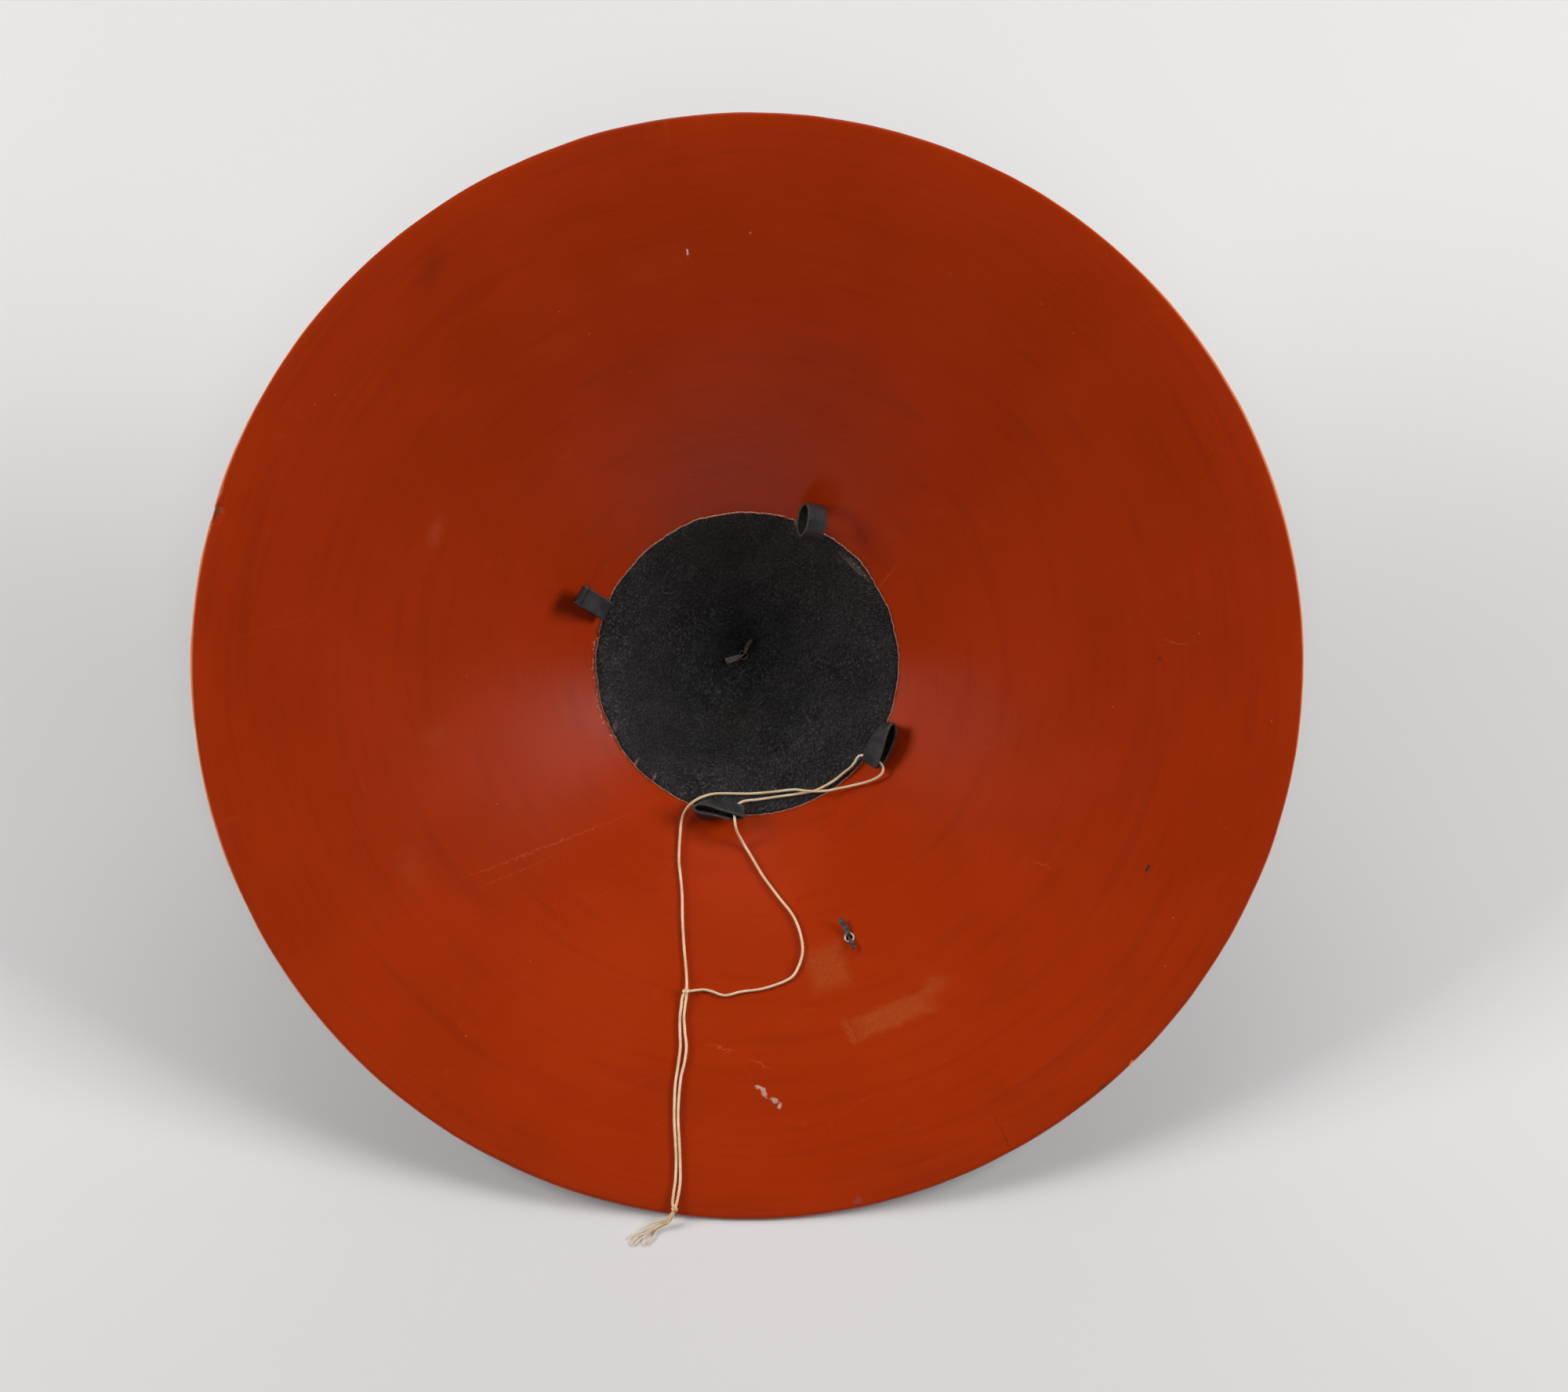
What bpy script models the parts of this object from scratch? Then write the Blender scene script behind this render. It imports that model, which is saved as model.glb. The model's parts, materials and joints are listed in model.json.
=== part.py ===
"""Samurai war hat (jingasa): a lacquered hide shell with a leather crown pad, four cord loops and its cord.

The hat lies inside up, on the boss at its crown and on the front of its rim.
Sizes are in millimetres in the hat's own frame: the origin is the middle of the rim, +Z is the way out of
the opening and -Y is the front, where the rim touches the floor. Meshes are made in metres.
"""
import math
from collections import namedtuple

import bmesh
import bpy
from mathutils import Matrix, Vector

MM = 0.001
GAP = 0.3                  # air between touching pieces

# Shell: inner height = -DEPTH * (1 - s(r) / s(RIM_RADIUS)) ** CURVE_POWER, steepest at the crown
RIM_RADIUS = 225.0
DEPTH = 118.0
CURVE_POWER = 1.35
APEX_ROUNDING = 3.0
SHELL_WALL = 2.6
LIP_STATION = 223.5        # where the inner face meets the rounded edge
SHELL_STATIONS = (2.1, 3.0, 6.0, 12.0, 22.0, 36.0, 52.0, 70.0, 90.0, 112.0, 136.0, 160.0, 182.0, 202.0, 216.0)
SHELL_SEGMENTS = 72
HOLE_RADIUS = 2.1          # both eyelet holes
Ripple = namedtuple("Ripple", "waves size phase")
RIM_RIPPLES = (Ripple(2, 0.62, 14.6), Ripple(3, 0.31, 36.5))

# Leather pad glued over the crown
PAD_CENTRE = (0.87, -1.92)
PAD_RADIUS = 63.16
PAD_THICKNESS = 1.4
PAD_TOP = GAP + PAD_THICKNESS

# Fittings
FITTING_SEGMENTS = 24
BORE_RADIUS = 1.4
BORE_DEPTH = 3.2
FERRULE_RADIUS = 1.75
LIP_WIRE = 0.4             # radius of the rolled lip around each bore
BOSS_RADIUS = 16.0
BOSS_FACE_RADIUS = 12.0
BOSS_FLATS = 12
BOSS_SIDE = 2.8            # straight side of the boss
BOSS_FACE_Z = -124.5
REAR_HOLE = (42.4, -113.7)
STUD_RADIUS = 5.0
STUD_FACE_RADIUS = 4.0
STUD_HEIGHT = 2.2
THONG_THICKNESS = 0.8
THONG_ROOT_WIDTH = 1.0     # folded root in the bore
THONG_ROOT_DEPTH = 2.4

# Loops: straps of one width and thickness closed to a ring
STRAP_WIDTH = 8.5
STRAP_THICKNESS = 1.1
STRAP_SEGMENTS = 24
Loop = namedtuple("Loop", "name x y lift length height along across")
OVAL_LOOPS = (
    Loop("ring_upper", 27.5, 57.9, 8.7, 13.4, 13.4, (0.10, 0.96, -0.20), (-0.94, 0.16, 0.29)),
    Loop("ring_left", -63.1, 23.9, 5.9, 19.0, 2.7, (-0.544, 0.345, 0.762), (0.49, 0.87, -0.07)),
)
# The cord pulls the other two out of shape: plan places of the strap's low and high edge, round the loop
Station = namedtuple("Station", "low_x low_y low_lift high_x high_y")
RIGHT_LOOP = (
    Station(49.2, -41.9, 3.7, 54.4, -45.0),
    Station(49.0, -40.2, 6.5, 55.4, -42.9),
    Station(50.6, -35.4, 8.3, 57.1, -37.0),
    Station(53.4, -30.8, 7.5, 58.6, -31.4),
    Station(56.6, -27.6, 4.5, 60.2, -27.4),
    Station(58.4, -26.6, 2.5, 61.9, -26.4),
    Station(59.2, -29.2, 0.9, 62.8, -29.2),
    Station(56.8, -33.1, 0.9, 62.1, -33.5),
    Station(53.7, -37.3, 1.2, 60.0, -39.2),
    Station(50.8, -41.4, 1.2, 57.0, -44.0),
)
LOWER_LOOP = (
    Station(-1.0, -61.4, 4.5, -0.9, -65.4),
    Station(-4.6, -59.9, 6.6, -5.2, -63.9),
    Station(-10.4, -58.9, 6.4, -10.8, -62.2),
    Station(-15.6, -58.9, 5.8, -16.3, -60.2),
    Station(-19.4, -60.0, 4.6, -20.2, -60.0),
    Station(-20.9, -62.8, 3.2, -21.8, -61.4),
    Station(-19.0, -66.0, 2.0, -20.0, -62.9),
    Station(-15.0, -66.9, 1.8, -14.5, -63.9),
    Station(-9.2, -65.3, 2.3, -8.6, -65.6),
    Station(-4.2, -63.2, 2.5, -3.6, -66.6),
)

# Cord: plan place and lift of the centre above the bare inner face, from the bight inside the right loop
CORD_DIAMETER = 1.2
CORD_STEP = 13.0           # longest run between two tube points
CORD_TURN = 40.0           # degrees of bend between two tube points
LEFT_UPPER = (
    (52.8, -41.1, 4.0), (54.5, -42.0, 4.1), (56.2, -43.1, 4.1), (57.2, -44.7, 3.8), (57.1, -46.6, 3.4),
    (55.8, -48.3, 3.0), (53.4, -49.8, 2.6), (49.8, -51.2, 2.3), (43.0, -53.0, 2.2), (39.0, -53.8, 2.9),
    (34.6, -54.7, 3.9), (31.0, -55.0, 4.4), (28.3, -55.1, 4.5), (24.6, -54.9, 4.3), (20.5, -54.6, 3.2),
    (13.0, -55.5, 2.8), (2.6, -56.4, 2.8), (-8.0, -56.3, 2.8), (-13.0, -56.4, 2.8), (-16.9, -57.2, 2.8),
    (-20.6, -58.7, 3.0), (-23.6, -61.0, 2.9), (-25.6, -63.9, 2.2), (-26.7, -67.4, 1.6),
    (-27.2, -71.4, 1.2), (-27.7, -78.2, 1.0), (-27.8, -83.8, 1.0), (-27.2, -89.4, 1.0),
    (-26.6, -96.9, 1.0), (-26.5, -106.2, 1.0), (-25.9, -117.4, 1.0), (-25.1, -126.6, 1.0),
    (-24.9, -132.8, 1.5),
)
RIGHT_UPPER = (
    (52.4, -41.3, 3.9), (50.3, -40.4, 3.8), (48.5, -40.1, 3.8), (46.9, -41.0, 3.6), (45.8, -43.0, 3.3),
    (44.0, -45.2, 3.1), (41.1, -47.5, 2.9), (36.8, -50.9, 2.8), (31.3, -54.0, 2.7), (27.7, -55.3, 2.7),
    (21.3, -56.5, 2.7), (15.0, -57.4, 2.7), (8.0, -58.4, 2.7), (4.2, -58.9, 2.9), (1.2, -59.1, 3.3),
    (-1.6, -59.7, 3.8), (-3.6, -61.2, 4.5), (-4.4, -63.0, 6.2), (-4.6, -64.6, 8.1), (-4.6, -66.0, 9.4),
    (-4.5, -67.3, 9.9), (-4.3, -68.7, 9.7), (-4.0, -70.0, 8.9), (-3.6, -71.3, 7.6), (-3.1, -72.5, 6.1),
    (-2.5, -73.6, 4.6), (-1.9, -74.7, 3.3), (-1.2, -75.9, 2.1), (-0.4, -77.3, 1.3), (0.6, -78.9, 1.1),
    (1.9, -80.9, 1.0), (5.3, -86.6, 1.0), (7.7, -90.3, 1.0), (13.4, -97.7, 1.0), (19.3, -105.1, 1.0),
    (22.3, -112.6, 1.0), (22.9, -120.0, 1.0), (20.0, -127.4, 1.0), (15.8, -130.8, 1.0),
    (6.4, -133.9, 1.0), (-2.6, -135.1, 1.0), (-9.2, -136.5, 1.0), (-14.3, -135.0, 1.0),
    (-18.0, -134.2, 1.0), (-23.6, -134.6, 1.4),
)
LEFT_LOWER = (
    (-26.7, -136.8, 1.4), (-27.3, -141.0, 1.1), (-27.8, -145.0, 1.0), (-27.8, -151.0, 1.0),
    (-27.7, -156.5, 1.0), (-28.7, -164.0, 1.0), (-29.8, -171.0, 1.0), (-30.2, -178.0, 1.0),
    (-30.3, -185.5, 1.0), (-29.9, -193.0, 1.0), (-29.6, -200.6, 1.0), (-29.9, -208.3, 1.0),
    (-30.6, -213.3, 1.1), (-31.1, -218.0, 1.5),
)
RIGHT_LOWER = (
    (-25.1, -136.7, 1.4), (-25.7, -141.0, 1.1), (-26.1, -145.0, 1.0), (-25.7, -151.0, 1.0),
    (-25.2, -156.5, 1.0), (-26.0, -162.5, 1.0), (-27.5, -168.5, 1.0), (-28.5, -178.0, 1.0),
    (-28.7, -185.5, 1.0), (-28.3, -193.0, 1.0), (-28.0, -200.6, 1.0), (-27.9, -208.3, 1.0),
    (-28.5, -213.3, 1.1), (-29.5, -218.0, 1.5),
)
Knot = namedtuple("Knot", "name x y lift wide long high")
KNOTS = (
    Knot("knot_upper", -25.4, -134.7, 1.8, 2.8, 3.4, 2.6),
    Knot("knot_lower", -30.3, -219.8, 1.8, 2.6, 3.2, 2.6),
)

# Frayed ends of both strands, from the lower knot over the edge of the rim to the floor, in the world's frame
Fray = namedtuple("Fray", "x y z turn wide high")
FRAYED_ENDS = (
    Fray(-31.1, -194.3, 4.9, 30, 1.8, 1.2),
    Fray(-33.4, -195.6, 3.1, 32, 2.6, 1.2),
    Fray(-37.6, -198.2, 1.5, 40, 4.0, 1.1),
    Fray(-41.4, -201.2, 0.9, 50, 6.0, 1.0),
    Fray(-44.6, -203.9, 0.8, 55, 7.6, 0.9),
)
FRAY_SIDES = 8


def soft(r):
    """Radius rounded off near the apex."""
    return math.hypot(r, APEX_ROUNDING) - APEX_ROUNDING


def inner_height(r):
    """Height of the shell's inner face at a profile radius."""
    return -DEPTH * (1 - soft(r) / soft(RIM_RADIUS)) ** CURVE_POWER


def inner_slope(r):
    """Slope of the inner face along the radius."""
    reach = soft(RIM_RADIUS)
    bend = (1 - soft(r) / reach) ** (CURVE_POWER - 1)
    return DEPTH * CURVE_POWER / reach * bend * r / math.hypot(r, APEX_ROUNDING)


def offset(r, lift):
    """Profile point at radius r moved off the inner face along its normal."""
    slope = inner_slope(r)
    length = math.hypot(1, slope)
    return r - lift * slope / length, inner_height(r) + lift / length


def rim_ripple(angle):
    """How far the hand-made rim stands out of round at a polar angle."""
    return sum(w.size * math.cos(w.waves * (angle - math.radians(w.phase))) for w in RIM_RIPPLES)


def rippled(r, angle):
    """Radius with the rim's ripple, which fades out towards the crown."""
    return r + rim_ripple(angle) * (r / RIM_RADIUS) ** 2


def lay_point(x, y, lift):
    """Point over a plan place, lifted off the inner face along its normal."""
    r = math.hypot(x, y)
    r -= rim_ripple(math.atan2(y, x)) * (r / RIM_RADIUS) ** 2
    return Vector((x, y, inner_height(r) + lift * math.hypot(1, inner_slope(r))))


def surface_axes(x, y):
    """Axes at a plan place: outward along the face, around the hat, and off the face."""
    angle = math.atan2(y, x)
    tilt = math.atan(inner_slope(math.hypot(x, y)))
    outward = Vector((math.cos(angle) * math.cos(tilt), math.sin(angle) * math.cos(tilt), math.sin(tilt)))
    around = Vector((-math.sin(angle), math.cos(angle), 0))
    return outward, around, outward.cross(around)


def axes_matrix(origin, x_axis, z_axis):
    """Placement with local X near x_axis and local Z along z_axis, in metres."""
    z_axis = z_axis.normalized()
    y_axis = z_axis.cross(x_axis).normalized()
    x_axis = y_axis.cross(z_axis)
    turn = Matrix((x_axis, y_axis, z_axis)).transposed()
    return Matrix.Translation(origin * MM) @ turn.to_4x4()


def material(name, colour, roughness, metallic=0.0):
    """Principled material."""
    made = bpy.data.materials.new(name)
    made.use_nodes = True
    shader = made.node_tree.nodes["Principled BSDF"]
    shader.inputs["Base Color"].default_value = (*colour, 1.0)
    shader.inputs["Roughness"].default_value = roughness
    shader.inputs["Metallic"].default_value = metallic
    return made


def add_object(name, data, finish, parent, matrix=None):
    """Link an object under the hat's empty, placed in the hat's frame."""
    piece = bpy.data.objects.new(name, data)
    bpy.context.scene.collection.objects.link(piece)
    data.materials.append(finish)
    piece.parent = parent
    if matrix is not None:
        piece.matrix_local = matrix
    return piece


def mesh_from(name, points, faces, sharp=40):
    """Closed mesh from points in millimetres, shaded smooth up to the sharp angle."""
    mesh = bpy.data.meshes.new(name)
    mesh.from_pydata([Vector(p) * MM for p in points], [], faces)
    mesh.validate()
    mesh.shade_smooth()
    mesh.set_sharp_from_angle(angle=math.radians(sharp))
    return mesh


def ring_faces(rings, count, closed):
    """Quads between rings of count points each; closed also joins the last ring to the first."""
    faces = []
    for a in range(rings if closed else rings - 1):
        b = (a + 1) % rings
        for k in range(count):
            n = (k + 1) % count
            faces.append((a * count + k, a * count + n, b * count + n, b * count + k))
    return faces


def segment_angle(k, segments):
    """Angle of a polygon's corner; one flat of the polygon faces the front."""
    return -math.pi / 2 + (k + 0.5) * math.tau / segments


def shell_profile():
    """Closed section of the wall: outer face outward, rounded edge, inner face back to the crown hole."""
    outer = [offset(r, -SHELL_WALL) for r in SHELL_STATIONS[1:] + (LIP_STATION,)]
    hole = (HOLE_RADIUS, outer[0][1] - 0.3)
    tilt = math.atan(inner_slope(LIP_STATION))
    middle_r, middle_z = offset(LIP_STATION, -SHELL_WALL / 2)
    edge = []
    for step in (1, 2, 3):
        turn = tilt - math.pi / 2 + step * math.pi / 4
        edge.append((middle_r + SHELL_WALL / 2 * math.cos(turn), middle_z + SHELL_WALL / 2 * math.sin(turn)))
    inner = [offset(r, 0.0) for r in (LIP_STATION,) + SHELL_STATIONS[::-1]]
    return [hole] + outer + edge + inner


def make_shell(parent, finish):
    """Lacquered hide shell with the crown hole."""
    profile = shell_profile()
    points = []
    for r, z in profile:
        for k in range(SHELL_SEGMENTS):
            angle = segment_angle(k, SHELL_SEGMENTS)
            far = rippled(r, angle)
            points.append((far * math.cos(angle), far * math.sin(angle), z))
    mesh = mesh_from("shell", points, ring_faces(len(profile), SHELL_SEGMENTS, True))
    return add_object("shell", mesh, finish, parent)


def cut_rear_hole(shell, parent):
    """Bore the rear eyelet's hole square to the wall."""
    outward, _, normal = surface_axes(*REAR_HOLE)
    mesh = bpy.data.meshes.new("rear_hole_cutter")
    shape = bmesh.new()
    bmesh.ops.create_cone(shape, cap_ends=True, segments=FITTING_SEGMENTS, radius1=HOLE_RADIUS * MM,
                          radius2=HOLE_RADIUS * MM, depth=4 * SHELL_WALL * MM)
    shape.to_mesh(mesh)
    shape.free()
    cutter = bpy.data.objects.new("rear_hole_cutter", mesh)
    bpy.context.scene.collection.objects.link(cutter)
    cutter.parent = parent
    cutter.matrix_local = axes_matrix(lay_point(*REAR_HOLE, 0.0), outward, normal)
    cutter.hide_render = True
    cutter.display_type = 'WIRE'
    cut = shell.modifiers.new("rear_hole", 'BOOLEAN')
    cut.operation = 'DIFFERENCE'
    cut.solver = 'EXACT'
    cut.object = cutter


def pad_edge(angle):
    """Radius of the pad's cut edge, seen from the hat's axis."""
    turn = angle - math.atan2(PAD_CENTRE[1], PAD_CENTRE[0])
    off = math.hypot(*PAD_CENTRE)
    return off * math.cos(turn) + math.sqrt(PAD_RADIUS ** 2 - (off * math.sin(turn)) ** 2)


def make_pad(parent, finish):
    """Leather disc that follows the shell, with a hole for the crown eyelet."""
    inner_stations = [r for r in SHELL_STATIONS if r < PAD_RADIUS - 5]
    rows = [(r, GAP) for r in inner_stations] + [(None, GAP), (None, PAD_TOP)]
    rows += [(r, PAD_TOP) for r in reversed(inner_stations)]
    points = []
    for r, lift in rows:
        for k in range(SHELL_SEGMENTS):
            angle = segment_angle(k, SHELL_SEGMENTS)
            edge = pad_edge(angle) if r is None else r
            far, z = offset(edge, lift)
            if edge == HOLE_RADIUS:
                far = HOLE_RADIUS
            points.append((far * math.cos(angle), far * math.sin(angle), z))
    mesh = mesh_from("leather_pad", points, ring_faces(len(rows), SHELL_SEGMENTS, True))
    return add_object("leather_pad", mesh, finish, parent)


def turned(name, profile):
    """Solid of revolution; the profile runs from the top of the axis round to its bottom.

    A row is radius, height and the number of flats, 0 for round.
    """
    points = [(0.0, 0.0, profile[0][1])]
    for r, z, flats in profile[1:-1]:
        for k in range(FITTING_SEGMENTS):
            angle = segment_angle(k, FITTING_SEGMENTS)
            far = r
            if flats:
                side = math.tau / flats
                off_flat = (angle + math.pi / 2 + side / 2) % side - side / 2
                far = r * math.cos(side / 2) / math.cos(off_flat)
            points.append((far * math.cos(angle), far * math.sin(angle), z))
    points.append((0.0, 0.0, profile[-1][1]))
    count = FITTING_SEGMENTS
    rings = len(profile) - 2
    faces = []
    for k in range(count):
        n = (k + 1) % count
        faces.append((0, 1 + k, 1 + n))
        faces.append((len(points) - 1, 1 + (rings - 1) * count + n, 1 + (rings - 1) * count + k))
        for a in range(rings - 1):
            low, high = 1 + (a + 1) * count, 1 + a * count
            faces.append((high + k, low + k, low + n, high + n))
    return mesh_from(name, points, faces, sharp=30)


def lip_profile(seat):
    """Bore, rolled lip and top of the ferrule; seat is the height that the lip sits on."""
    middle_r = BORE_RADIUS + LIP_WIRE
    middle_z = seat + GAP + LIP_WIRE
    rows = [(0.0, middle_z - BORE_DEPTH, 0), (BORE_RADIUS, middle_z - BORE_DEPTH, 0)]
    for step in range(5):
        turn = math.pi - step * math.pi * 0.3125
        rows.append((middle_r + LIP_WIRE * math.cos(turn), middle_z + LIP_WIRE * math.sin(turn), 0))
    rows.append((FERRULE_RADIUS, seat + GAP, 0))
    return rows


def crown_seat():
    """Height of the pad's top face under the outside of the crown eyelet's lip."""
    r = BORE_RADIUS + 2 * LIP_WIRE
    return inner_height(r) + PAD_TOP * math.hypot(1, inner_slope(r))


def make_crown_eyelet(parent, finish):
    """Eyelet through pad and crown in one piece with the plain boss outside."""
    under = [offset(r, -SHELL_WALL - 1.3 * GAP) for r in (2.6, 5.0, 8.0, 11.5)]
    end_z = inner_height(BOSS_RADIUS) - (SHELL_WALL + 1.3 * GAP) * math.hypot(1, inner_slope(BOSS_RADIUS))
    rows = lip_profile(crown_seat())
    rows += [(FERRULE_RADIUS, under[0][1] - 0.1, 0)]
    rows += [(r, z, 0) for r, z in under]
    rows += [(BOSS_RADIUS, end_z - 0.2, BOSS_FLATS), (BOSS_RADIUS, end_z - BOSS_SIDE, BOSS_FLATS)]
    rows += [(BOSS_FACE_RADIUS, BOSS_FACE_Z, BOSS_FLATS), (0.0, BOSS_FACE_Z, 0)]
    return add_object("crown_eyelet", turned("crown_eyelet", rows), finish, parent)


def make_rear_eyelet(parent, finish):
    """Eyelet through the shell in one piece with its plain stud outside."""
    back = -SHELL_WALL - 1.5 * GAP
    rows = lip_profile(0.0)
    rows += [(FERRULE_RADIUS, back, 0), (STUD_RADIUS, back, 0), (STUD_RADIUS, back - STUD_HEIGHT / 2, 0)]
    rows += [(STUD_FACE_RADIUS, back - STUD_HEIGHT, 0), (0.0, back - STUD_HEIGHT, 0)]
    outward, _, normal = surface_axes(*REAR_HOLE)
    place = axes_matrix(lay_point(*REAR_HOLE, 0.0), outward, normal)
    return add_object("rear_eyelet", turned("rear_eyelet", rows), finish, parent, place)


def thong_mesh(name, rows):
    """Leather strip spread over an eyelet, with a folded root in the bore.

    A row is the section's middle (x, y, underside z), its width direction angle, width and top height.
    """
    points = []
    for x, y, z, angle, width, top in rows:
        side = Vector((math.cos(math.radians(angle)), math.sin(math.radians(angle)), 0)) * width / 2
        middle = Vector((x, y, 0))
        for sign, height in ((-1, z), (1, z), (1, top), (-1, top)):
            corner = middle + sign * side
            points.append((corner.x, corner.y, height))
    faces = ring_faces(len(rows), 4, False)
    faces += [(3, 2, 1, 0), tuple(4 * (len(rows) - 1) + k for k in range(4))]
    return mesh_from(name, points, faces, sharp=50)


def make_crown_thong(parent, finish):
    """Thong whose short left end and curled right end lie on the pad."""
    seat = crown_seat()
    over = seat + GAP + 2 * LIP_WIRE + 0.25
    root = over - THONG_ROOT_DEPTH
    tail = THONG_THICKNESS
    rows = (
        (-7.6, -2.6, pad_clear(-7.6, -2.6), 108, 2.3, pad_clear(-7.6, -2.6) + tail),
        (-4.4, -1.6, pad_clear(-4.4, -1.6), 106, 2.2, pad_clear(-4.4, -1.6) + tail),
        (-2.3, -0.9, over, 108, 2.0, over + tail),
        (-0.95, -0.4, over, 112, 1.0, over + tail),
        (-0.6, -0.25, root, 116, THONG_ROOT_WIDTH, over + tail),
        (0.35, 0.5, root, 140, THONG_ROOT_WIDTH, over + tail),
        (0.55, 0.85, over, 150, 1.0, over + tail),
        (1.4, 2.6, over, 172, 1.5, over + tail),
        (1.9, 4.4, pad_clear(1.9, 4.4), 160, 1.5, pad_clear(1.9, 4.4) + tail),
        (3.6, 6.4, pad_clear(3.6, 6.4), 128, 1.6, pad_clear(3.6, 6.4) + tail),
    )
    return add_object("crown_thong", thong_mesh("crown_thong", rows), finish, parent)


def pad_clear(x, y):
    """Height of a section's underside over the pad, clear of the eyelet's lip."""
    return max(lay_point(x, y, PAD_TOP + 2 * GAP).z + 0.5, crown_seat() + GAP + 2 * LIP_WIRE + 0.25)


def make_rear_thong(parent, finish):
    """Thong whose long end points up the hat and short end down it."""
    over = GAP + 2 * LIP_WIRE + 0.25
    root = over - THONG_ROOT_DEPTH
    tail = THONG_THICKNESS
    rows = (
        (-8.6, -0.5, over + 0.6, 88, 2.3, over + 0.6 + tail),
        (-5.2, -0.3, over + 0.3, 88, 2.4, over + 0.3 + tail),
        (-2.4, 0.0, over, 90, 2.6, over + tail),
        (-1.05, 0.0, over, 90, 1.1, over + tail),
        (-0.7, 0.0, root, 90, THONG_ROOT_WIDTH, over + tail),
        (0.7, 0.0, root, 90, THONG_ROOT_WIDTH, over + tail),
        (1.05, 0.0, over, 90, 1.1, over + tail),
        (2.6, 0.1, over, 91, 1.7, over + tail),
        (6.0, 0.2, over + 0.5, 92, 1.8, over + 0.5 + tail),
    )
    outward, _, normal = surface_axes(*REAR_HOLE)
    place = axes_matrix(lay_point(*REAR_HOLE, 0.0), outward, normal)
    return add_object("rear_thong", thong_mesh("rear_thong", rows), finish, parent, place)


def strap_band(name, low, high):
    """Closed strap between two edge curves, with its thickness laid half to each side."""
    count = len(low)
    rings = [[], [], [], []]
    for k in range(count):
        along = (low[(k + 1) % count] - low[k - 1]).normalized()
        across = (high[k] - low[k]).normalized()
        out = along.cross(across).normalized() * STRAP_THICKNESS / 2
        for ring, corner in zip(rings, (low[k] + out, high[k] + out, high[k] - out, low[k] - out)):
            ring.append(corner)
    points = [p for ring in rings for p in ring]
    return mesh_from(name, points, ring_faces(4, count, True), sharp=50)


def make_oval_loop(loop, parent, finish):
    """Strap loop whose two edges are equal ovals: two straight runs joined by half rounds."""
    across = Vector(loop.across).normalized()
    place = axes_matrix(lay_point(loop.x, loop.y, loop.lift), Vector(loop.along), across)
    low, high = [], []
    straight = (loop.length - loop.height) / 2
    for k in range(STRAP_SEGMENTS):
        turn = math.tau * (k + 0.5) / STRAP_SEGMENTS
        reach = math.copysign(straight, math.cos(turn)) + loop.height / 2 * math.cos(turn)
        rim = Vector((reach, loop.height / 2 * math.sin(turn), 0))
        low.append(rim - Vector((0, 0, STRAP_WIDTH / 2)))
        high.append(rim + Vector((0, 0, STRAP_WIDTH / 2)))
    return add_object(loop.name, strap_band(loop.name, low, high), finish, parent, place)


def curve_point(points, k, t):
    """Catmull-Rom point between point k and the next of a closed list."""
    a, b, c, d = (points[(k + i) % len(points)] for i in (-1, 0, 1, 2))
    bend = 2 * a - 5 * b + 4 * c - d
    twist = 3 * b - a - 3 * c + d
    return 0.5 * (2 * b + (c - a) * t + bend * t * t + twist * t ** 3)


def make_bent_loop(name, stations, parent, finish):
    """Strap loop whose high edge stands one strap width off its low edge."""
    low, high = [], []
    for row in stations:
        base = lay_point(row.low_x, row.low_y, row.low_lift)
        aside = math.hypot(row.high_x - row.low_x, row.high_y - row.low_y)
        low.append(base)
        high.append(Vector((row.high_x, row.high_y, base.z + math.sqrt(STRAP_WIDTH ** 2 - aside ** 2))))
    steps = [(k, t) for k in range(len(low)) for t in (0.0, 1 / 3, 2 / 3)]
    low_curve = [curve_point(low, k, t) for k, t in steps]
    high_curve = [curve_point(high, k, t) for k, t in steps]
    return add_object(name, strap_band(name, low_curve, high_curve), finish, parent)


def smooth_route(route):
    """Dense points of a smooth curve through a cord's route points."""
    points = [lay_point(*row) for row in route]
    points = [2 * points[0] - points[1]] + points + [2 * points[-1] - points[-2]]
    dense = []
    for k in range(1, len(points) - 2):
        dense += [curve_point(points, k, step / 16) for step in range(16)]
    return dense + [points[-2]]


def thin_out(dense):
    """Tube points: close together in bends, far apart on straight runs."""
    kept = [dense[0]]
    spent = 0.0
    for k in range(1, len(dense) - 1):
        before, after = dense[k] - dense[k - 1], dense[k + 1] - dense[k]
        spent += before.length / CORD_STEP + math.degrees(before.angle(after)) / CORD_TURN
        if spent >= 1:
            kept.append(dense[k])
            spent = 0.0
    if (kept[-1] - dense[-1]).length < CORD_STEP / 4 and len(kept) > 1:
        kept.pop()
    return kept + [dense[-1]]


def make_cord(name, route, parent, finish):
    """Round cord as a bevelled curve with filled caps."""
    points = thin_out(smooth_route(route))
    data = bpy.data.curves.new(name, 'CURVE')
    data.dimensions = '3D'
    data.bevel_depth = CORD_DIAMETER / 2 * MM
    data.bevel_resolution = 2
    data.use_fill_caps = True
    spline = data.splines.new('POLY')
    spline.points.add(len(points) - 1)
    for slot, point in zip(spline.points, points):
        slot.co = (*(point * MM), 1.0)
    return add_object(name, data, finish, parent)


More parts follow.
